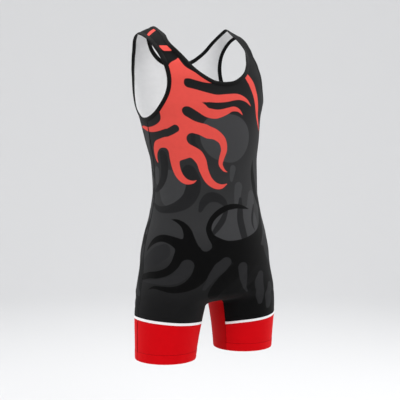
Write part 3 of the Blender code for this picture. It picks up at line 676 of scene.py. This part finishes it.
# ---- the cloth's soft creases: from one place on the pattern to another, in centimetres, with width and depth in millimetres
CREASE_COLS = ("across_1", "h_1", "across_2", "h_2", "width", "depth")
FRONT_CREASES = (
    (-2.0, 16.2, -8.5, 20.6, 7.0, 0.9), (1.6, 16.0, 7.6, 20.0, 6.0, 0.8), (-1.0, 17.6, -4.6, 23.4, 6.0, 0.6), (0.8, 17.8, 5.2, 24.2, 7.0, 0.6),
    (-10.0, 14.6, -17.0, 17.2, 6.0, 0.5), (9.6, 14.0, 16.0, 16.8, 6.0, 0.6), (-14.5, 40.2, -22.5, 38.2, 7.0, 0.8), (-17.0, 43.6, -23.5, 42.7, 5.0, 0.5),
    (13.0, 40.6, 21.5, 38.4, 7.0, 0.8), (15.5, 44.2, 23.0, 43.0, 5.0, 0.6), (-15.0, 60.4, -20.5, 57.4, 6.0, 0.7), (14.6, 60.2, 20.0, 57.0, 6.0, 0.6),
    (-3.0, 66.6, -8.0, 69.4, 6.0, 0.4), (3.4, 66.8, 7.6, 69.6, 6.0, 0.4), (-4.0, 45.6, 3.0, 44.8, 9.0, 0.4), (-1.5, 49.5, 6.0, 50.2, 9.0, 0.3),
)
BACK_CREASES = (
    (-3.0, 17.6, -11.5, 15.6, 7.0, 1.1), (3.2, 17.4, 10.5, 15.2, 6.5, 1.0), (-1.4, 19.4, -4.2, 24.6, 7.0, 0.6), (1.2, 19.2, 5.0, 25.4, 7.0, 0.7),
    (-9.5, 42.4, 5.0, 41.2, 8.0, 0.9), (-3.0, 38.8, 11.5, 39.8, 7.0, 0.8), (-12.5, 45.8, -2.0, 45.2, 6.0, 0.5), (8.0, 44.4, 17.0, 42.2, 6.0, 0.6),
    (-14.0, 38.2, -21.0, 36.8, 6.0, 0.6), (-6.0, 66.5, -13.0, 61.0, 8.0, 0.5), (5.6, 67.0, 12.0, 61.8, 8.0, 0.5), (-15.0, 13.8, -20.0, 12.2, 5.0, 0.5),
)


def creased(p):
    """How far the surface stands out or in at each point, metres."""
    q = spread(p)
    rear = p[:, 1] > ring("centre_y", np.maximum(p[:, 2], 0.17))
    out = np.zeros(len(p))
    for rows, w, on in ((FRONT_CREASES, q, ~rear), (BACK_CREASES, from_back(q), rear)):
        for a1, h1, a2, h2, width, depth in rows:
            a, e = np.array((a1, h1)), np.array((a2 - a1, h2 - h1))
            t = np.clip(((w - a) @ e) / (e @ e), 0, 1)
            bow = 0.35 * np.sin(np.pi * t)[:, None] * np.array((-e[1], e[0])) / np.linalg.norm(e)
            d = np.linalg.norm(w - a - t[:, None] * e - bow, axis=1) * 10
            fade = np.clip(np.sin(np.pi * np.clip(t, 0.02, 0.98)), 0, 1)
            out += np.where(on, fade * depth * (-np.exp(-(d / width) ** 2) + 0.45 * np.exp(-((d - 1.7 * width) / width) ** 2)), 0)
    return out * 0.001


def ride(p):
    """The leg seams moved up or down the thighs, by how each leg of the garment has ridden."""
    up = np.clip(p[:, 2] / 0.07, 0, 1) * np.clip((0.150 - p[:, 2]) / 0.045, 0, 1)
    off = np.clip((np.abs(p[:, 0]) - 0.012) / 0.022, 0, 1)
    rise = up * up * (3 - 2 * up) * off * off * (3 - 2 * off) * -np.sign(p[:, 0]) * RIDE
    moved = rise != 0
    q = p.copy()
    q[moved, 2] += rise[moved]
    if moved.any():
        q[moved] = settle(q[moved])
    return q


def placed(p, lift, smooth_cloth=False):
    """(points, normals) of garment points as worn, moved out by the lift."""
    p = ride(np.array(p, float))
    n = outward(p)
    lift = lift + (0 if smooth_cloth else creased(p))
    return p + n * np.reshape(lift, (-1, 1)) - (0, 0, TOP), n, p


# ---- materials
def linear(r, g, b):
    return tuple((v / 255 / 12.92) if v <= 10 else ((v / 255 + 0.055) / 1.055) ** 2.4 for v in (r, g, b)) + (1.0,)


def node(tree, kind, **values):
    n = tree.nodes.new(kind)
    for k, v in values.items():
        setattr(n, k, v)
    return n


def cloth(name, colour, rough=0.6, sheen=0.25, tint=(1, 1, 1, 1), wales=1500.0, courses=1900.0, bump=0.12, specular=0.35):
    """A fine matte stretch knit. Its wales and courses follow the pattern coordinates of the piece."""
    m = bpy.data.materials.new(name)
    m.use_nodes = True
    t = m.node_tree
    b = t.nodes["Principled BSDF"]
    b.inputs["Roughness"].default_value = rough
    b.inputs["Specular IOR Level"].default_value = specular
    b.inputs["Sheen Weight"].default_value = sheen
    b.inputs["Sheen Roughness"].default_value = 0.45
    b.inputs["Sheen Tint"].default_value = tint
    where = node(t, "ShaderNodeAttribute", attribute_name="cloth")
    wale = node(t, "ShaderNodeTexWave", wave_type="BANDS", bands_direction="X", wave_profile="SIN")
    wale.inputs["Scale"].default_value = wales / 6.2832 * 0.5
    wale.inputs["Distortion"].default_value = 0.6
    wale.inputs["Detail"].default_value = 1.0
    course = node(t, "ShaderNodeTexWave", wave_type="BANDS", bands_direction="Y", wave_profile="SIN")
    course.inputs["Scale"].default_value = courses / 6.2832 * 0.5
    course.inputs["Distortion"].default_value = 0.6
    grain = node(t, "ShaderNodeTexNoise")
    grain.inputs["Scale"].default_value = 90.0
    grain.inputs["Detail"].default_value = 4.0
    both = node(t, "ShaderNodeMath", operation="MULTIPLY_ADD")
    both.inputs[1].default_value = 0.6
    t.links.new(where.outputs["Vector"], wale.inputs["Vector"])
    t.links.new(where.outputs["Vector"], course.inputs["Vector"])
    t.links.new(where.outputs["Vector"], grain.inputs["Vector"])
    t.links.new(wale.outputs["Fac"], both.inputs[0])
    t.links.new(course.outputs["Fac"], both.inputs[2])
    raised = node(t, "ShaderNodeBump")
    raised.inputs["Strength"].default_value = bump
    raised.inputs["Distance"].default_value = 0.0003
    t.links.new(both.outputs[0], raised.inputs["Height"])
    t.links.new(raised.outputs["Normal"], b.inputs["Normal"])
    uneven = node(t, "ShaderNodeMapRange")
    uneven.inputs["From Min"].default_value, uneven.inputs["From Max"].default_value = 0.3, 0.7
    uneven.inputs["To Min"].default_value, uneven.inputs["To Max"].default_value = 0.98, 1.02
    t.links.new(grain.outputs["Fac"], uneven.inputs["Value"])
    mix = node(t, "ShaderNodeMix", data_type="RGBA", blend_type="MULTIPLY")
    mix.inputs["Factor"].default_value = 1.0
    mix.inputs[6].default_value = colour
    t.links.new(uneven.outputs["Result"], mix.inputs[7])
    t.links.new(mix.outputs[2], b.inputs["Base Color"])
    return m, t, mix


def layered(name):
    """The printed cloth: each layer of the print lies over the one before, with the softness of its edge in centimetres."""
    m, t, last = cloth(name, (1, 1, 1, 1), rough=0.72, sheen=0.012, specular=0.09)
    base = node(t, "ShaderNodeAttribute", attribute_name="print_base")
    tint = node(t, "ShaderNodeVectorMath", operation="MULTIPLY")
    tint.inputs[1].default_value = (0.80, 0.80, 0.82)
    t.links.new(base.outputs["Fac"], tint.inputs[0])
    flow = tint.outputs[0]
    for layer, colour, soft in (("pale", linear(63, 63, 64), 0.12), ("shade", linear(33, 33, 34), 0.10), ("ink", linear(3, 3, 3), 0.06),
                                ("drop", linear(39, 39, 40), 0.07), ("coral", linear(228, 81, 72), 0.045)):
        edge = node(t, "ShaderNodeAttribute", attribute_name="print_" + layer)
        cover = node(t, "ShaderNodeMapRange")
        cover.inputs["From Min"].default_value, cover.inputs["From Max"].default_value = -soft, soft
        cover.inputs["To Min"].default_value, cover.inputs["To Max"].default_value = 1.0, 0.0
        t.links.new(edge.outputs["Fac"], cover.inputs["Value"])
        over_it = node(t, "ShaderNodeMix", data_type="RGBA", blend_type="MIX")
        t.links.new(cover.outputs["Result"], over_it.inputs["Factor"])
        t.links.new(flow, over_it.inputs[6])
        over_it.inputs[7].default_value = colour
        flow = over_it.outputs[2]
    t.links.new(flow, last.inputs[6])
    return m


MATERIALS = {
    "print": layered("singlet_print"),
    "inside": cloth("singlet_inside", linear(240, 240, 240), rough=0.8, sheen=0.05, bump=0.03)[0],
    "binding": cloth("singlet_binding", linear(6, 6, 6), rough=0.62, sheen=0.012, wales=600.0, courses=2600.0, bump=0.22, specular=0.12)[0],
    "white": cloth("singlet_white", linear(253, 251, 251), rough=0.62, sheen=0.1)[0],
    # the inner thigh piece is the same red as the leg bands; its darker red is painted shade for the hollow between the
    # legs
    "deep_red": cloth("singlet_inner_thigh_painted_shade", linear(188, 1, 8), rough=0.66, sheen=0.02, tint=(1.0, 0.2, 0.2, 1), specular=0.06)[0],
    "red": cloth("singlet_red", linear(219, 1, 13), rough=0.66, sheen=0.02, tint=(1.0, 0.2, 0.2, 1), specular=0.07)[0],
    "thread_black": cloth("thread_black", linear(5, 5, 5), rough=0.6, sheen=0.0, bump=0.0, specular=0.08)[0],
    "thread_red": cloth("thread_red", linear(104, 1, 5), rough=0.6, sheen=0.0, bump=0.0, specular=0.06)[0],
    "thread_white": cloth("thread_white", linear(236, 232, 232), rough=0.5, sheen=0.1, bump=0.0)[0],
}
garment = bpy.data.collections.new("singlet_looks")
bpy.context.scene.collection.children.link(garment)


def add_object(name, points, faces, mats, index=None, layers=None):
    mesh = bpy.data.meshes.new(name)
    mesh.from_pydata([tuple(v) for v in points], [], [tuple(int(i) for i in f) for f in faces])
    for key in mats:
        mesh.materials.append(MATERIALS[key])
    if index is not None:
        mesh.polygons.foreach_set("material_index", np.asarray(index, np.int32))
    for key, values in (layers or {}).items():
        values = np.asarray(values, np.float32)
        if values.ndim == 1:
            mesh.attributes.new(key, "FLOAT", "POINT").data.foreach_set("value", values)
        else:
            full = np.zeros((len(values), 3), np.float32)
            full[:, :values.shape[1]] = values
            mesh.attributes.new(key, "FLOAT_VECTOR", "POINT").data.foreach_set("vector", full.ravel())
    mesh.update()
    mesh.shade_smooth()
    mesh.set_sharp_from_angle(angle=math.radians(48))
    obj = bpy.data.objects.new(name, mesh)
    garment.objects.link(obj)
    return obj


def both_halves(points, faces):
    p = np.array(points, float)
    p[np.abs(p[:, 0]) < 2e-6, 0] = 0
    same = np.arange(len(p))
    rest = np.flatnonzero(p[:, 0] != 0)
    same[rest] = len(p) + np.arange(len(rest))
    return np.vstack([p, p[rest] * (-1, 1, 1)]), np.vstack([faces, same[np.asarray(faces)][:, ::-1]])


def shell(name, points, faces, mats, wall=CLOTH, lift=0.0, mirror=False, flip=False, back=None):
    """A closed thin shell: its outer face, its inner face, and the rim between them."""
    faces = np.asarray(faces)
    p = np.array(points, float)
    if mirror:
        p, faces = both_halves(p, faces)
    if flip:
        p = p * (-1, 1, 1)
    lifts = lift(p) if callable(lift) else np.full(len(p), lift)
    out, n, worn = placed(p, lifts)
    tri = faces[:, :3]
    turned = np.einsum("ij,ij->i", np.cross(out[tri[:, 1]] - out[tri[:, 0]], out[tri[:, 2]] - out[tri[:, 0]]), n[tri[:, 0]]) < 0
    faces = np.where(turned[:, None], faces[:, ::-1], faces)
    inner = out - n * wall
    count = len(out)
    k = faces.shape[1]
    ends = np.concatenate([np.stack([faces[:, i], faces[:, (i + 1) % k]], 1) for i in range(k)])
    key = ends[:, 0] * (2 * count) + ends[:, 1]
    back_key = ends[:, 1] * (2 * count) + ends[:, 0]
    open_ends = ends[~np.isin(key, back_key)]
    rim = np.stack([open_ends[:, 1], open_ends[:, 0], open_ends[:, 0] + count, open_ends[:, 1] + count], 1)
    all_faces = [tuple(f) for f in faces] + [tuple(f) for f in faces[:, ::-1] + count] + [tuple(f) for f in rim]
    index = [0] * len(faces) + [1] * len(faces) + [0] * len(rim)
    if back is None:
        layers = {"cloth": spread(worn) * 0.01}
    else:
        layers = print_on(worn, back)
        layers["cloth"] = layers["cloth"] * 0.01
    layers = {key: np.concatenate([v, v]) for key, v in layers.items()}
    return add_object(name, np.vstack([out, inner]), all_faces, mats, index, layers)


def strip(lines, loop):
    n = len(lines[0])
    i = np.arange(n if loop else n - 1)
    faces = [np.stack([j * n + i, j * n + (i + 1) % n, (j + 1) * n + (i + 1) % n, (j + 1) * n + i], 1) for j in range(len(lines) - 1)]
    return np.vstack(lines), np.vstack(faces)


front_outline = outline([
    middle[:under + n_of(0.0465)],
    past_middle(down_leg(INSEAM_FRONT, half)),
    round_leg(-80.0, 120.0, -half),
    shift(side, half),
    arm_front(TUCK)[::-1],
    shoulder(-half)[::-1],
    over_middle(shift(neck_seam, TUCK, middle=True))[:over + n_of(0.062)][::-1],
], 20.0)
back_outline = outline([
    shift(side, -half)[::-1],
    round_leg(80.0, 250.0, -half),
    past_middle(down_leg(BACK_TURN, -half))[::-1],
    middle[under - n_of(0.031):],
    over_middle(shift(neck_seam, TUCK, middle=True))[over - n_of(0.0465):][::-1],
    shoulder(half),
    arm_back(TUCK)[::-1],
], 160.0)


def inner_thigh(count):
    """(points, faces) of half the inner thigh piece, in lines from the middle plane down to the hem."""
    lines = []
    slack = np.degrees(half / 0.085)
    rows = 4 + int(0.19 / STEP)
    for turn in np.linspace(INSEAM_FRONT - slack, INSEAM_BACK + slack, count):
        p = down_leg(turn, 0.0)
        p = part_of(p, 0, float(np.interp(0, -p[:, 2], np.arange(len(p)))))
        s = lengths(p)
        q = np.linspace(0, s[-1], rows)
        lines.append(np.stack([np.interp(q, s, p[:, k]) for k in range(3)], 1))
    points, faces = strip(lines, False)
    points[::rows, 0] = 0
    return points, faces


def turned_strip(upper, lower, rows):
    t = stations(INSEAM_FRONT + np.degrees(half / 0.085), BACK_TURN - np.degrees(half / 0.085))
    hi, lo = upper(t), lower(t)
    return strip([at(t, hi + (lo - hi) * k / rows) for k in range(rows + 1)], False)


def close_loop(p):
    return np.vstack([p, p[1:-1][::-1] * (-1, 1, 1)])


def hem_lift(p):
    """The leg hem is doubled up to its stitching, which draws a shallow groove."""
    h = p[:, 2]
    doubled = 0.00045 / (1 + np.exp((h - HEM + 0.0012) / 0.0006))
    groove = -0.00045 * np.exp(-((h - HEM) / 0.0011) ** 2)
    roll = -0.0005 * np.exp(-(h / 0.0012) ** 2)
    return doubled + groove + roll


pieces = {}
pieces["front_panel"] = shell("front_cloth", *fill(front_outline, MESH, 20.0), ("print", "inside"), mirror=True, back=False)
pieces["back_panel"] = shell("back_cloth", *fill(back_outline, MESH, 160.0), ("print", "inside"), mirror=True, back=True)
# the inner thigh piece wears the band red darkened with painted shade
pieces["gusset"] = shell("inner_thigh_cloth", *inner_thigh(27), ("deep_red", "inside"), mirror=True, lift=hem_lift)

# ---- the folded edge binding, as a thin strip of its own cloth round the edge
BINDING_COLS = ("across", "out")   # share of the width from the fold, and millimetres out of the cloth's face
BINDING_SECTION = ((1.0, 0.35), (0.95, 0.75), (0.8, 0.98), (0.5, 1.10), (0.25, 1.02), (0.10, 0.72), (0.03, 0.20), (0.0, -0.55),
                   (0.03, -1.30), (0.10, -1.78), (0.25, -2.05), (0.5, -2.12), (0.8, -2.02), (0.95, -1.80), (1.0, -1.42))


def binding(name, edge):
    """The binding round one closed edge. Its section is worked out across the fold and carried along the edge."""
    section = np.array(BINDING_SECTION) * (BINDING, 0.001)
    along = np.gradient(section, axis=0)
    along /= np.linalg.norm(along, axis=1, keepdims=True)
    inner = section + np.stack([-along[:, 1], along[:, 0]], 1) * -FOLD
    if inner[7, 0] < section[7, 0]:
        inner = 2 * section - inner
    loop_section = np.vstack([section, inner[::-1]])
    lines = {}
    for u in sorted(set(np.round(loop_section[:, 0], 6))):
        lines[u] = shift(edge, -u, loop=True) if abs(u) > 1e-7 else edge
    stack = []
    for u, out in loop_section:
        line = lines[round(float(u), 6)]
        stack.append((line, out))
    count = len(edge)
    allp = np.vstack([line for line, _ in stack])
    lifts = np.concatenate([np.full(count, out) for _, out in stack])
    out, _, worn = placed(allp, lifts)
    m = len(stack)
    i = np.arange(count)
    faces = np.vstack([np.stack([j * count + i, j * count + (i + 1) % count, ((j + 1) % m) * count + (i + 1) % count, ((j + 1) % m) * count + i], 1)
                       for j in range(m)])
    s = np.concatenate([[0], np.cumsum(np.linalg.norm(np.diff(edge, axis=0), axis=1))])
    run = np.concatenate([s for _ in stack])
    over_it = np.repeat(np.arange(m) * 0.0012, count)
    a, b, c = (out[faces[:, k]] for k in range(3))
    if float(np.einsum("ij,ij->i", a, np.cross(b, c)).sum()) < 0:
        faces = faces[:, ::-1]
    return add_object(name, out, faces, ("binding",), None, {"cloth": np.stack([run, over_it], 1)})


neck_loop = close_loop(neck)
pieces["binding_neck"] = binding("neck_binding", neck_loop)
pieces["binding_arm_left"] = binding("arm_binding_left", arm)
pieces["binding_arm_right"] = binding("arm_binding_right", (arm * (-1, 1, 1))[::-1])
for name, flip in (("left", False), ("right", True)):
    pieces[f"stripe_{name}"] = shell(f"stripe_cloth_{name}", *turned_strip(lambda t: line_level(t) - half, lambda t: line_level(t) - STRIPE + half, 4),
                                     ("white", "inside"), flip=flip, lift=0.0001)
    pieces[f"band_{name}"] = shell(f"band_cloth_{name}", *turned_strip(lambda t: line_level(t) - STRIPE - half, lambda t: 0 * t, int(0.09 / STEP * 1.4)),
                                   ("red", "red"), flip=flip, lift=hem_lift)


# ---- stitching
def bead(length, radius, sides=5):
    """A short thread lying along x, thickest in the middle."""
    ring_x = (-0.5, -0.28, 0.28, 0.5)
    ring_r = (0.35, 1.0, 1.0, 0.35)
    a = np.linspace(0, 2 * math.pi, sides, endpoint=False)
    pts = np.vstack([np.stack([np.full(sides, x * length), np.cos(a) * r * radius, np.sin(a) * r * radius], 1) for x, r in zip(ring_x, ring_r)])
    i = np.arange(sides)
    faces = [tuple(f) for j in range(3) for f in np.stack([j * sides + i, j * sides + (i + 1) % sides, (j + 1) * sides + (i + 1) % sides, (j + 1) * sides + i], 1)]
    faces += [tuple(range(sides))[::-1], tuple(range(3 * sides, 4 * sides))]
    return pts, faces


def stitched(lines, pitch, length, radius, slant=0.0, lift=0.0, zigzag=False):
    """(points, faces) of the threads along the lines. Each line is points of the figure in order."""
    base, base_faces = bead(length, radius)
    allp, allf, count = [], [], 0
    for line in lines:
        p = even(line, pitch)
        out, n, _ = placed(p, lift)
        t = np.gradient(out, axis=0)
        t /= np.linalg.norm(t, axis=1, keepdims=True)
        side_way = np.cross(n, t)
        for k in range(len(out)):
            angle = math.radians(slant if not zigzag or k % 2 == 0 else -slant)
            x = t[k] * math.cos(angle) + side_way[k] * math.sin(angle)
            y = np.cross(n[k], x)
            allp.append(out[k] + base[:, :1] * x + base[:, 1:2] * y + base[:, 2:] * n[k])
            allf += [tuple(i + count for i in f) for f in base_faces]
            count += len(base)
    return np.vstack(allp), allf


def mirrored(line):
    return (line * (-1, 1, 1))[::-1]


def seam_parts(line, start, end):
    return line[(line[:, 2] > start) & (line[:, 2] < end)]


pitch = 0.0026
neck_row = shift(neck_loop, -BINDING * 0.80, loop=True)
arm_row = shift(arm, -BINDING * 0.80, loop=True)
side_body = part_of(side, float(np.interp(0.104, side[:, 2], np.arange(len(side)))), float(np.interp(0.592, side[:, 2], np.arange(len(side)))))
t_all = stations(INSEAM_FRONT, BACK_TURN)


def level(drop):
    return at(t_all, line_level(t_all) - drop)


black_rows = [np.vstack([neck_row, neck_row[:1]])]
for arm_line in (arm_row, mirrored(arm_row)):
    black_rows.append(np.vstack([arm_line, arm_line[:1]]))
threads = [stitched(black_rows, pitch, 0.0019, 0.00022, lift=0.00102)]
flat_rows = [side_body, mirrored(side_body)]
threads.append(stitched([shift(r, d) for r in flat_rows for d in (-0.00085, 0.00085)], 0.0017, 0.0022, 0.00020, slant=52.0, lift=0.00016, zigzag=True))
over_line = level(-0.0016)
threads.append(stitched([over_line, mirrored(over_line)], pitch, 0.0018, 0.00020, lift=0.00012))
for turn in (INSEAM_FRONT, BACK_TURN):
    p = down_leg(turn, 0.0)
    stop = float(np.interp(-0.092, -p[:, 2], np.arange(len(p))))
    p = part_of(p, 1.0, stop)
    threads.append(stitched([p, mirrored(p)], 0.0020, 0.0022, 0.00022, slant=55.0, lift=0.00014, zigzag=True))


def as_one(name, groups, mat):
    pts, faces, count = [], [], 0
    for p, f in groups:
        pts.append(p)
        faces += [tuple(i + count for i in one) for one in f]
        count += len(p)
    pts = np.vstack(pts)
    return add_object(name, pts, faces, (mat,), None, {"cloth": pts[:, [0, 2]]})


stitches_black = as_one("stitches_black", threads, "thread_black")
hem_rows = []
for drop in (0.0, 0.0030):
    row = at(t_all, 0 * t_all + HEM - drop)
    hem_rows += [row, mirrored(row)]
hem_threads = [stitched(hem_rows, 0.0029, 0.0023, 0.00034, lift=-0.00006)]
down_row = level(STRIPE + 0.0015)
hem_threads.append(stitched([down_row, mirrored(down_row)], pitch, 0.0018, 0.00020, lift=0.00012))
side_band = part_of(side, float(np.interp(0.001, side[:, 2], np.arange(len(side)))), float(np.interp(0.094, side[:, 2], np.arange(len(side)))))
for turn in (INSEAM_FRONT, BACK_TURN):
    p = down_leg(turn, 0.0)
    p = part_of(p, float(np.interp(-0.090, -p[:, 2], np.arange(len(p)))), float(np.interp(-0.001, -p[:, 2], np.arange(len(p)))))
    hem_threads.append(stitched([p, mirrored(p)], 0.0020, 0.0022, 0.00022, slant=55.0, lift=0.00024, zigzag=True))
stitches_red = as_one("stitches_red", hem_threads, "thread_red")


def ribbon(name, line, width, rise, mat):
    """A low rounded band of thread along a seam."""
    profile = ((-0.5, -0.0002), (-0.42, 0.35), (-0.15, 0.95), (0.15, 0.95), (0.42, 0.35), (0.5, -0.0002), (0.0, -0.9))
    rows = []
    for u, out in profile:
        shifted = shift(line, u * width) if u else line
        rows.append(placed(shifted, out * rise)[0])
    m, count = len(rows), len(line)
    pts = np.vstack(rows)
    i = np.arange(count - 1)
    faces = [tuple(f) for j in range(m) for f in
             np.stack([j * count + i, j * count + i + 1, ((j + 1) % m) * count + i + 1, ((j + 1) % m) * count + i], 1)]
    faces += [tuple(j * count for j in range(m))[::-1], tuple(j * count + count - 1 for j in range(m))]
    a = np.array([f[:3] for f in faces])
    if float(np.einsum("ij,ij->i", pts[a[:, 0]], np.cross(pts[a[:, 1]], pts[a[:, 2]])).sum()) < 0:
        faces = [f[::-1] for f in faces]
    s = np.concatenate([lengths(line)] * m)
    return add_object(name, pts, faces, (mat,), None, {"cloth": np.stack([s, np.repeat(np.arange(m) * 0.0006, count)], 1)})


seams = {
    "side_seam_left": ribbon("side_seam_left", side_body, 0.0042, 0.00050, "thread_black"),
    "side_seam_right": ribbon("side_seam_right", mirrored(side_body), 0.0042, 0.00050, "thread_black"),
    "side_seam_band_left": ribbon("side_seam_band_left", side_band, 0.0026, 0.00062, "thread_red"),
    "side_seam_band_right": ribbon("side_seam_band_right", mirrored(side_band), 0.0026, 0.00062, "thread_red"),
}

# ---- each piece goes on the root body, and the part it takes the place of is hidden
for cad_node, obj in pieces.items():
    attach(obj, "root")
    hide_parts(cad_node)
for obj in (stitches_black, seams["side_seam_left"], seams["side_seam_right"]):
    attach(obj, "root")
for obj in (stitches_red, seams["side_seam_band_left"], seams["side_seam_band_right"]):
    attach(obj, "root")

# ---- the stage: a round pale floor that runs up into a pale wall
FLOOR = -TOP - 0.46
yaw = math.radians(35.0)
back_way = np.array([math.sin(yaw), math.cos(yaw)])
side_way = np.array([math.cos(yaw), -math.sin(yaw)])
profile = [(0.02, FLOOR), (1.5, FLOOR), (3.2, FLOOR)] + [(3.2 + 2.2 * math.sin(t), FLOOR + 2.2 * (1 - math.cos(t))) for t in np.linspace(0.05, math.pi / 2, 20)] + [(5.4, FLOOR + 3.4)]
round_it = np.linspace(0, 2 * math.pi, 96, endpoint=False)
pts = [(d * math.cos(t), d * math.sin(t), z) for d, z in profile for t in round_it] + [(0.0, 0.0, FLOOR)]
faces = [(j * 96 + i, j * 96 + (i + 1) % 96, (j + 1) * 96 + (i + 1) % 96, (j + 1) * 96 + i) for j in range(len(profile) - 1) for i in range(96)]
faces += [(len(pts) - 1, (i + 1) % 96, i) for i in range(96)]
stage_mesh = bpy.data.meshes.new("stage_floor")
stage_mesh.from_pydata(pts, [], faces)
stage_mesh.shade_smooth()
stage = bpy.data.objects.new("stage_floor", stage_mesh)
bpy.context.scene.collection.objects.link(stage)
pale = bpy.data.materials.new("stage_pale")
pale.use_nodes = True
pb = pale.node_tree.nodes["Principled BSDF"]
pb.inputs["Base Color"].default_value = linear(205, 205, 205)
pb.inputs["Roughness"].default_value = 0.9
pb.inputs["Specular IOR Level"].default_value = 0.1
stage_mesh.materials.append(pale)


def area_light(name, place, aim, size, power, size_y=None, colour=(1, 1, 1)):
    data = bpy.data.lights.new(name, "AREA")
    data.shape = "RECTANGLE"
    data.size, data.size_y = size, size_y or size
    data.energy = power
    data.color = colour
    obj = bpy.data.objects.new(name, data)
    obj.location = place
    obj.rotation_euler = (Vector(aim) - Vector(place)).to_track_quat("-Z", "Y").to_euler()
    bpy.context.scene.collection.objects.link(obj)
    return obj


def seen_from(right, back, up):
    """A place given by how far it is to the picture's right, behind the garment and above its strap tops."""
    p = side_way * right + back_way * back
    return (float(p[0]), float(p[1]), up)


world = bpy.data.worlds.new("studio")
world.use_nodes = True
world.node_tree.nodes["Background"].inputs["Color"].default_value = (0.93, 0.95, 1.0, 1)
world.node_tree.nodes["Background"].inputs["Strength"].default_value = 0.58
bpy.context.scene.world = world
middle_of = (0.0, -0.05, -0.40)
area_light("key", seen_from(1.6, -2.6, 1.5), middle_of, 1.6, 44.0)
area_light("fill", seen_from(-2.2, -2.2, 0.4), middle_of, 1.8, 21.0)
area_light("rim_right", seen_from(1.9, 0.9, 0.3), middle_of, 0.9, 18.0, 2.2)
area_light("rim_left", seen_from(-1.9, 0.8, 0.2), middle_of, 0.9, 14.0, 2.2)
area_light("overhead", seen_from(0.0, 0.6, 2.4), middle_of, 2.4, 30.0)
area_light("backdrop", seen_from(0.0, 1.2, 2.6), seen_from(0.0, 4.0, 0.0), 3.0, 120.0)

# ---- the camera
camera_data = bpy.data.cameras.new("camera")
camera_data.sensor_width = 36.0
camera_data.lens = 1069.0 / 400.0 * 36.0
camera_data.clip_end = 60.0
camera_data.shift_x = 9.8 / 400.0
camera = bpy.data.objects.new("camera", camera_data)
away = Vector((-math.sin(yaw) * 2.75, -math.cos(yaw) * 2.75, 0.648 - TOP))
camera.location = away
camera.rotation_euler = (Vector((0.0, 0.0, 0.384 - TOP)) - away).to_track_quat("-Z", "Y").to_euler()
bpy.context.scene.collection.objects.link(camera)
bpy.context.scene.camera = camera

# the photograph's plain reds and blacks are outside what the default film-like view can show
bpy.context.scene.view_settings.view_transform = "Standard"
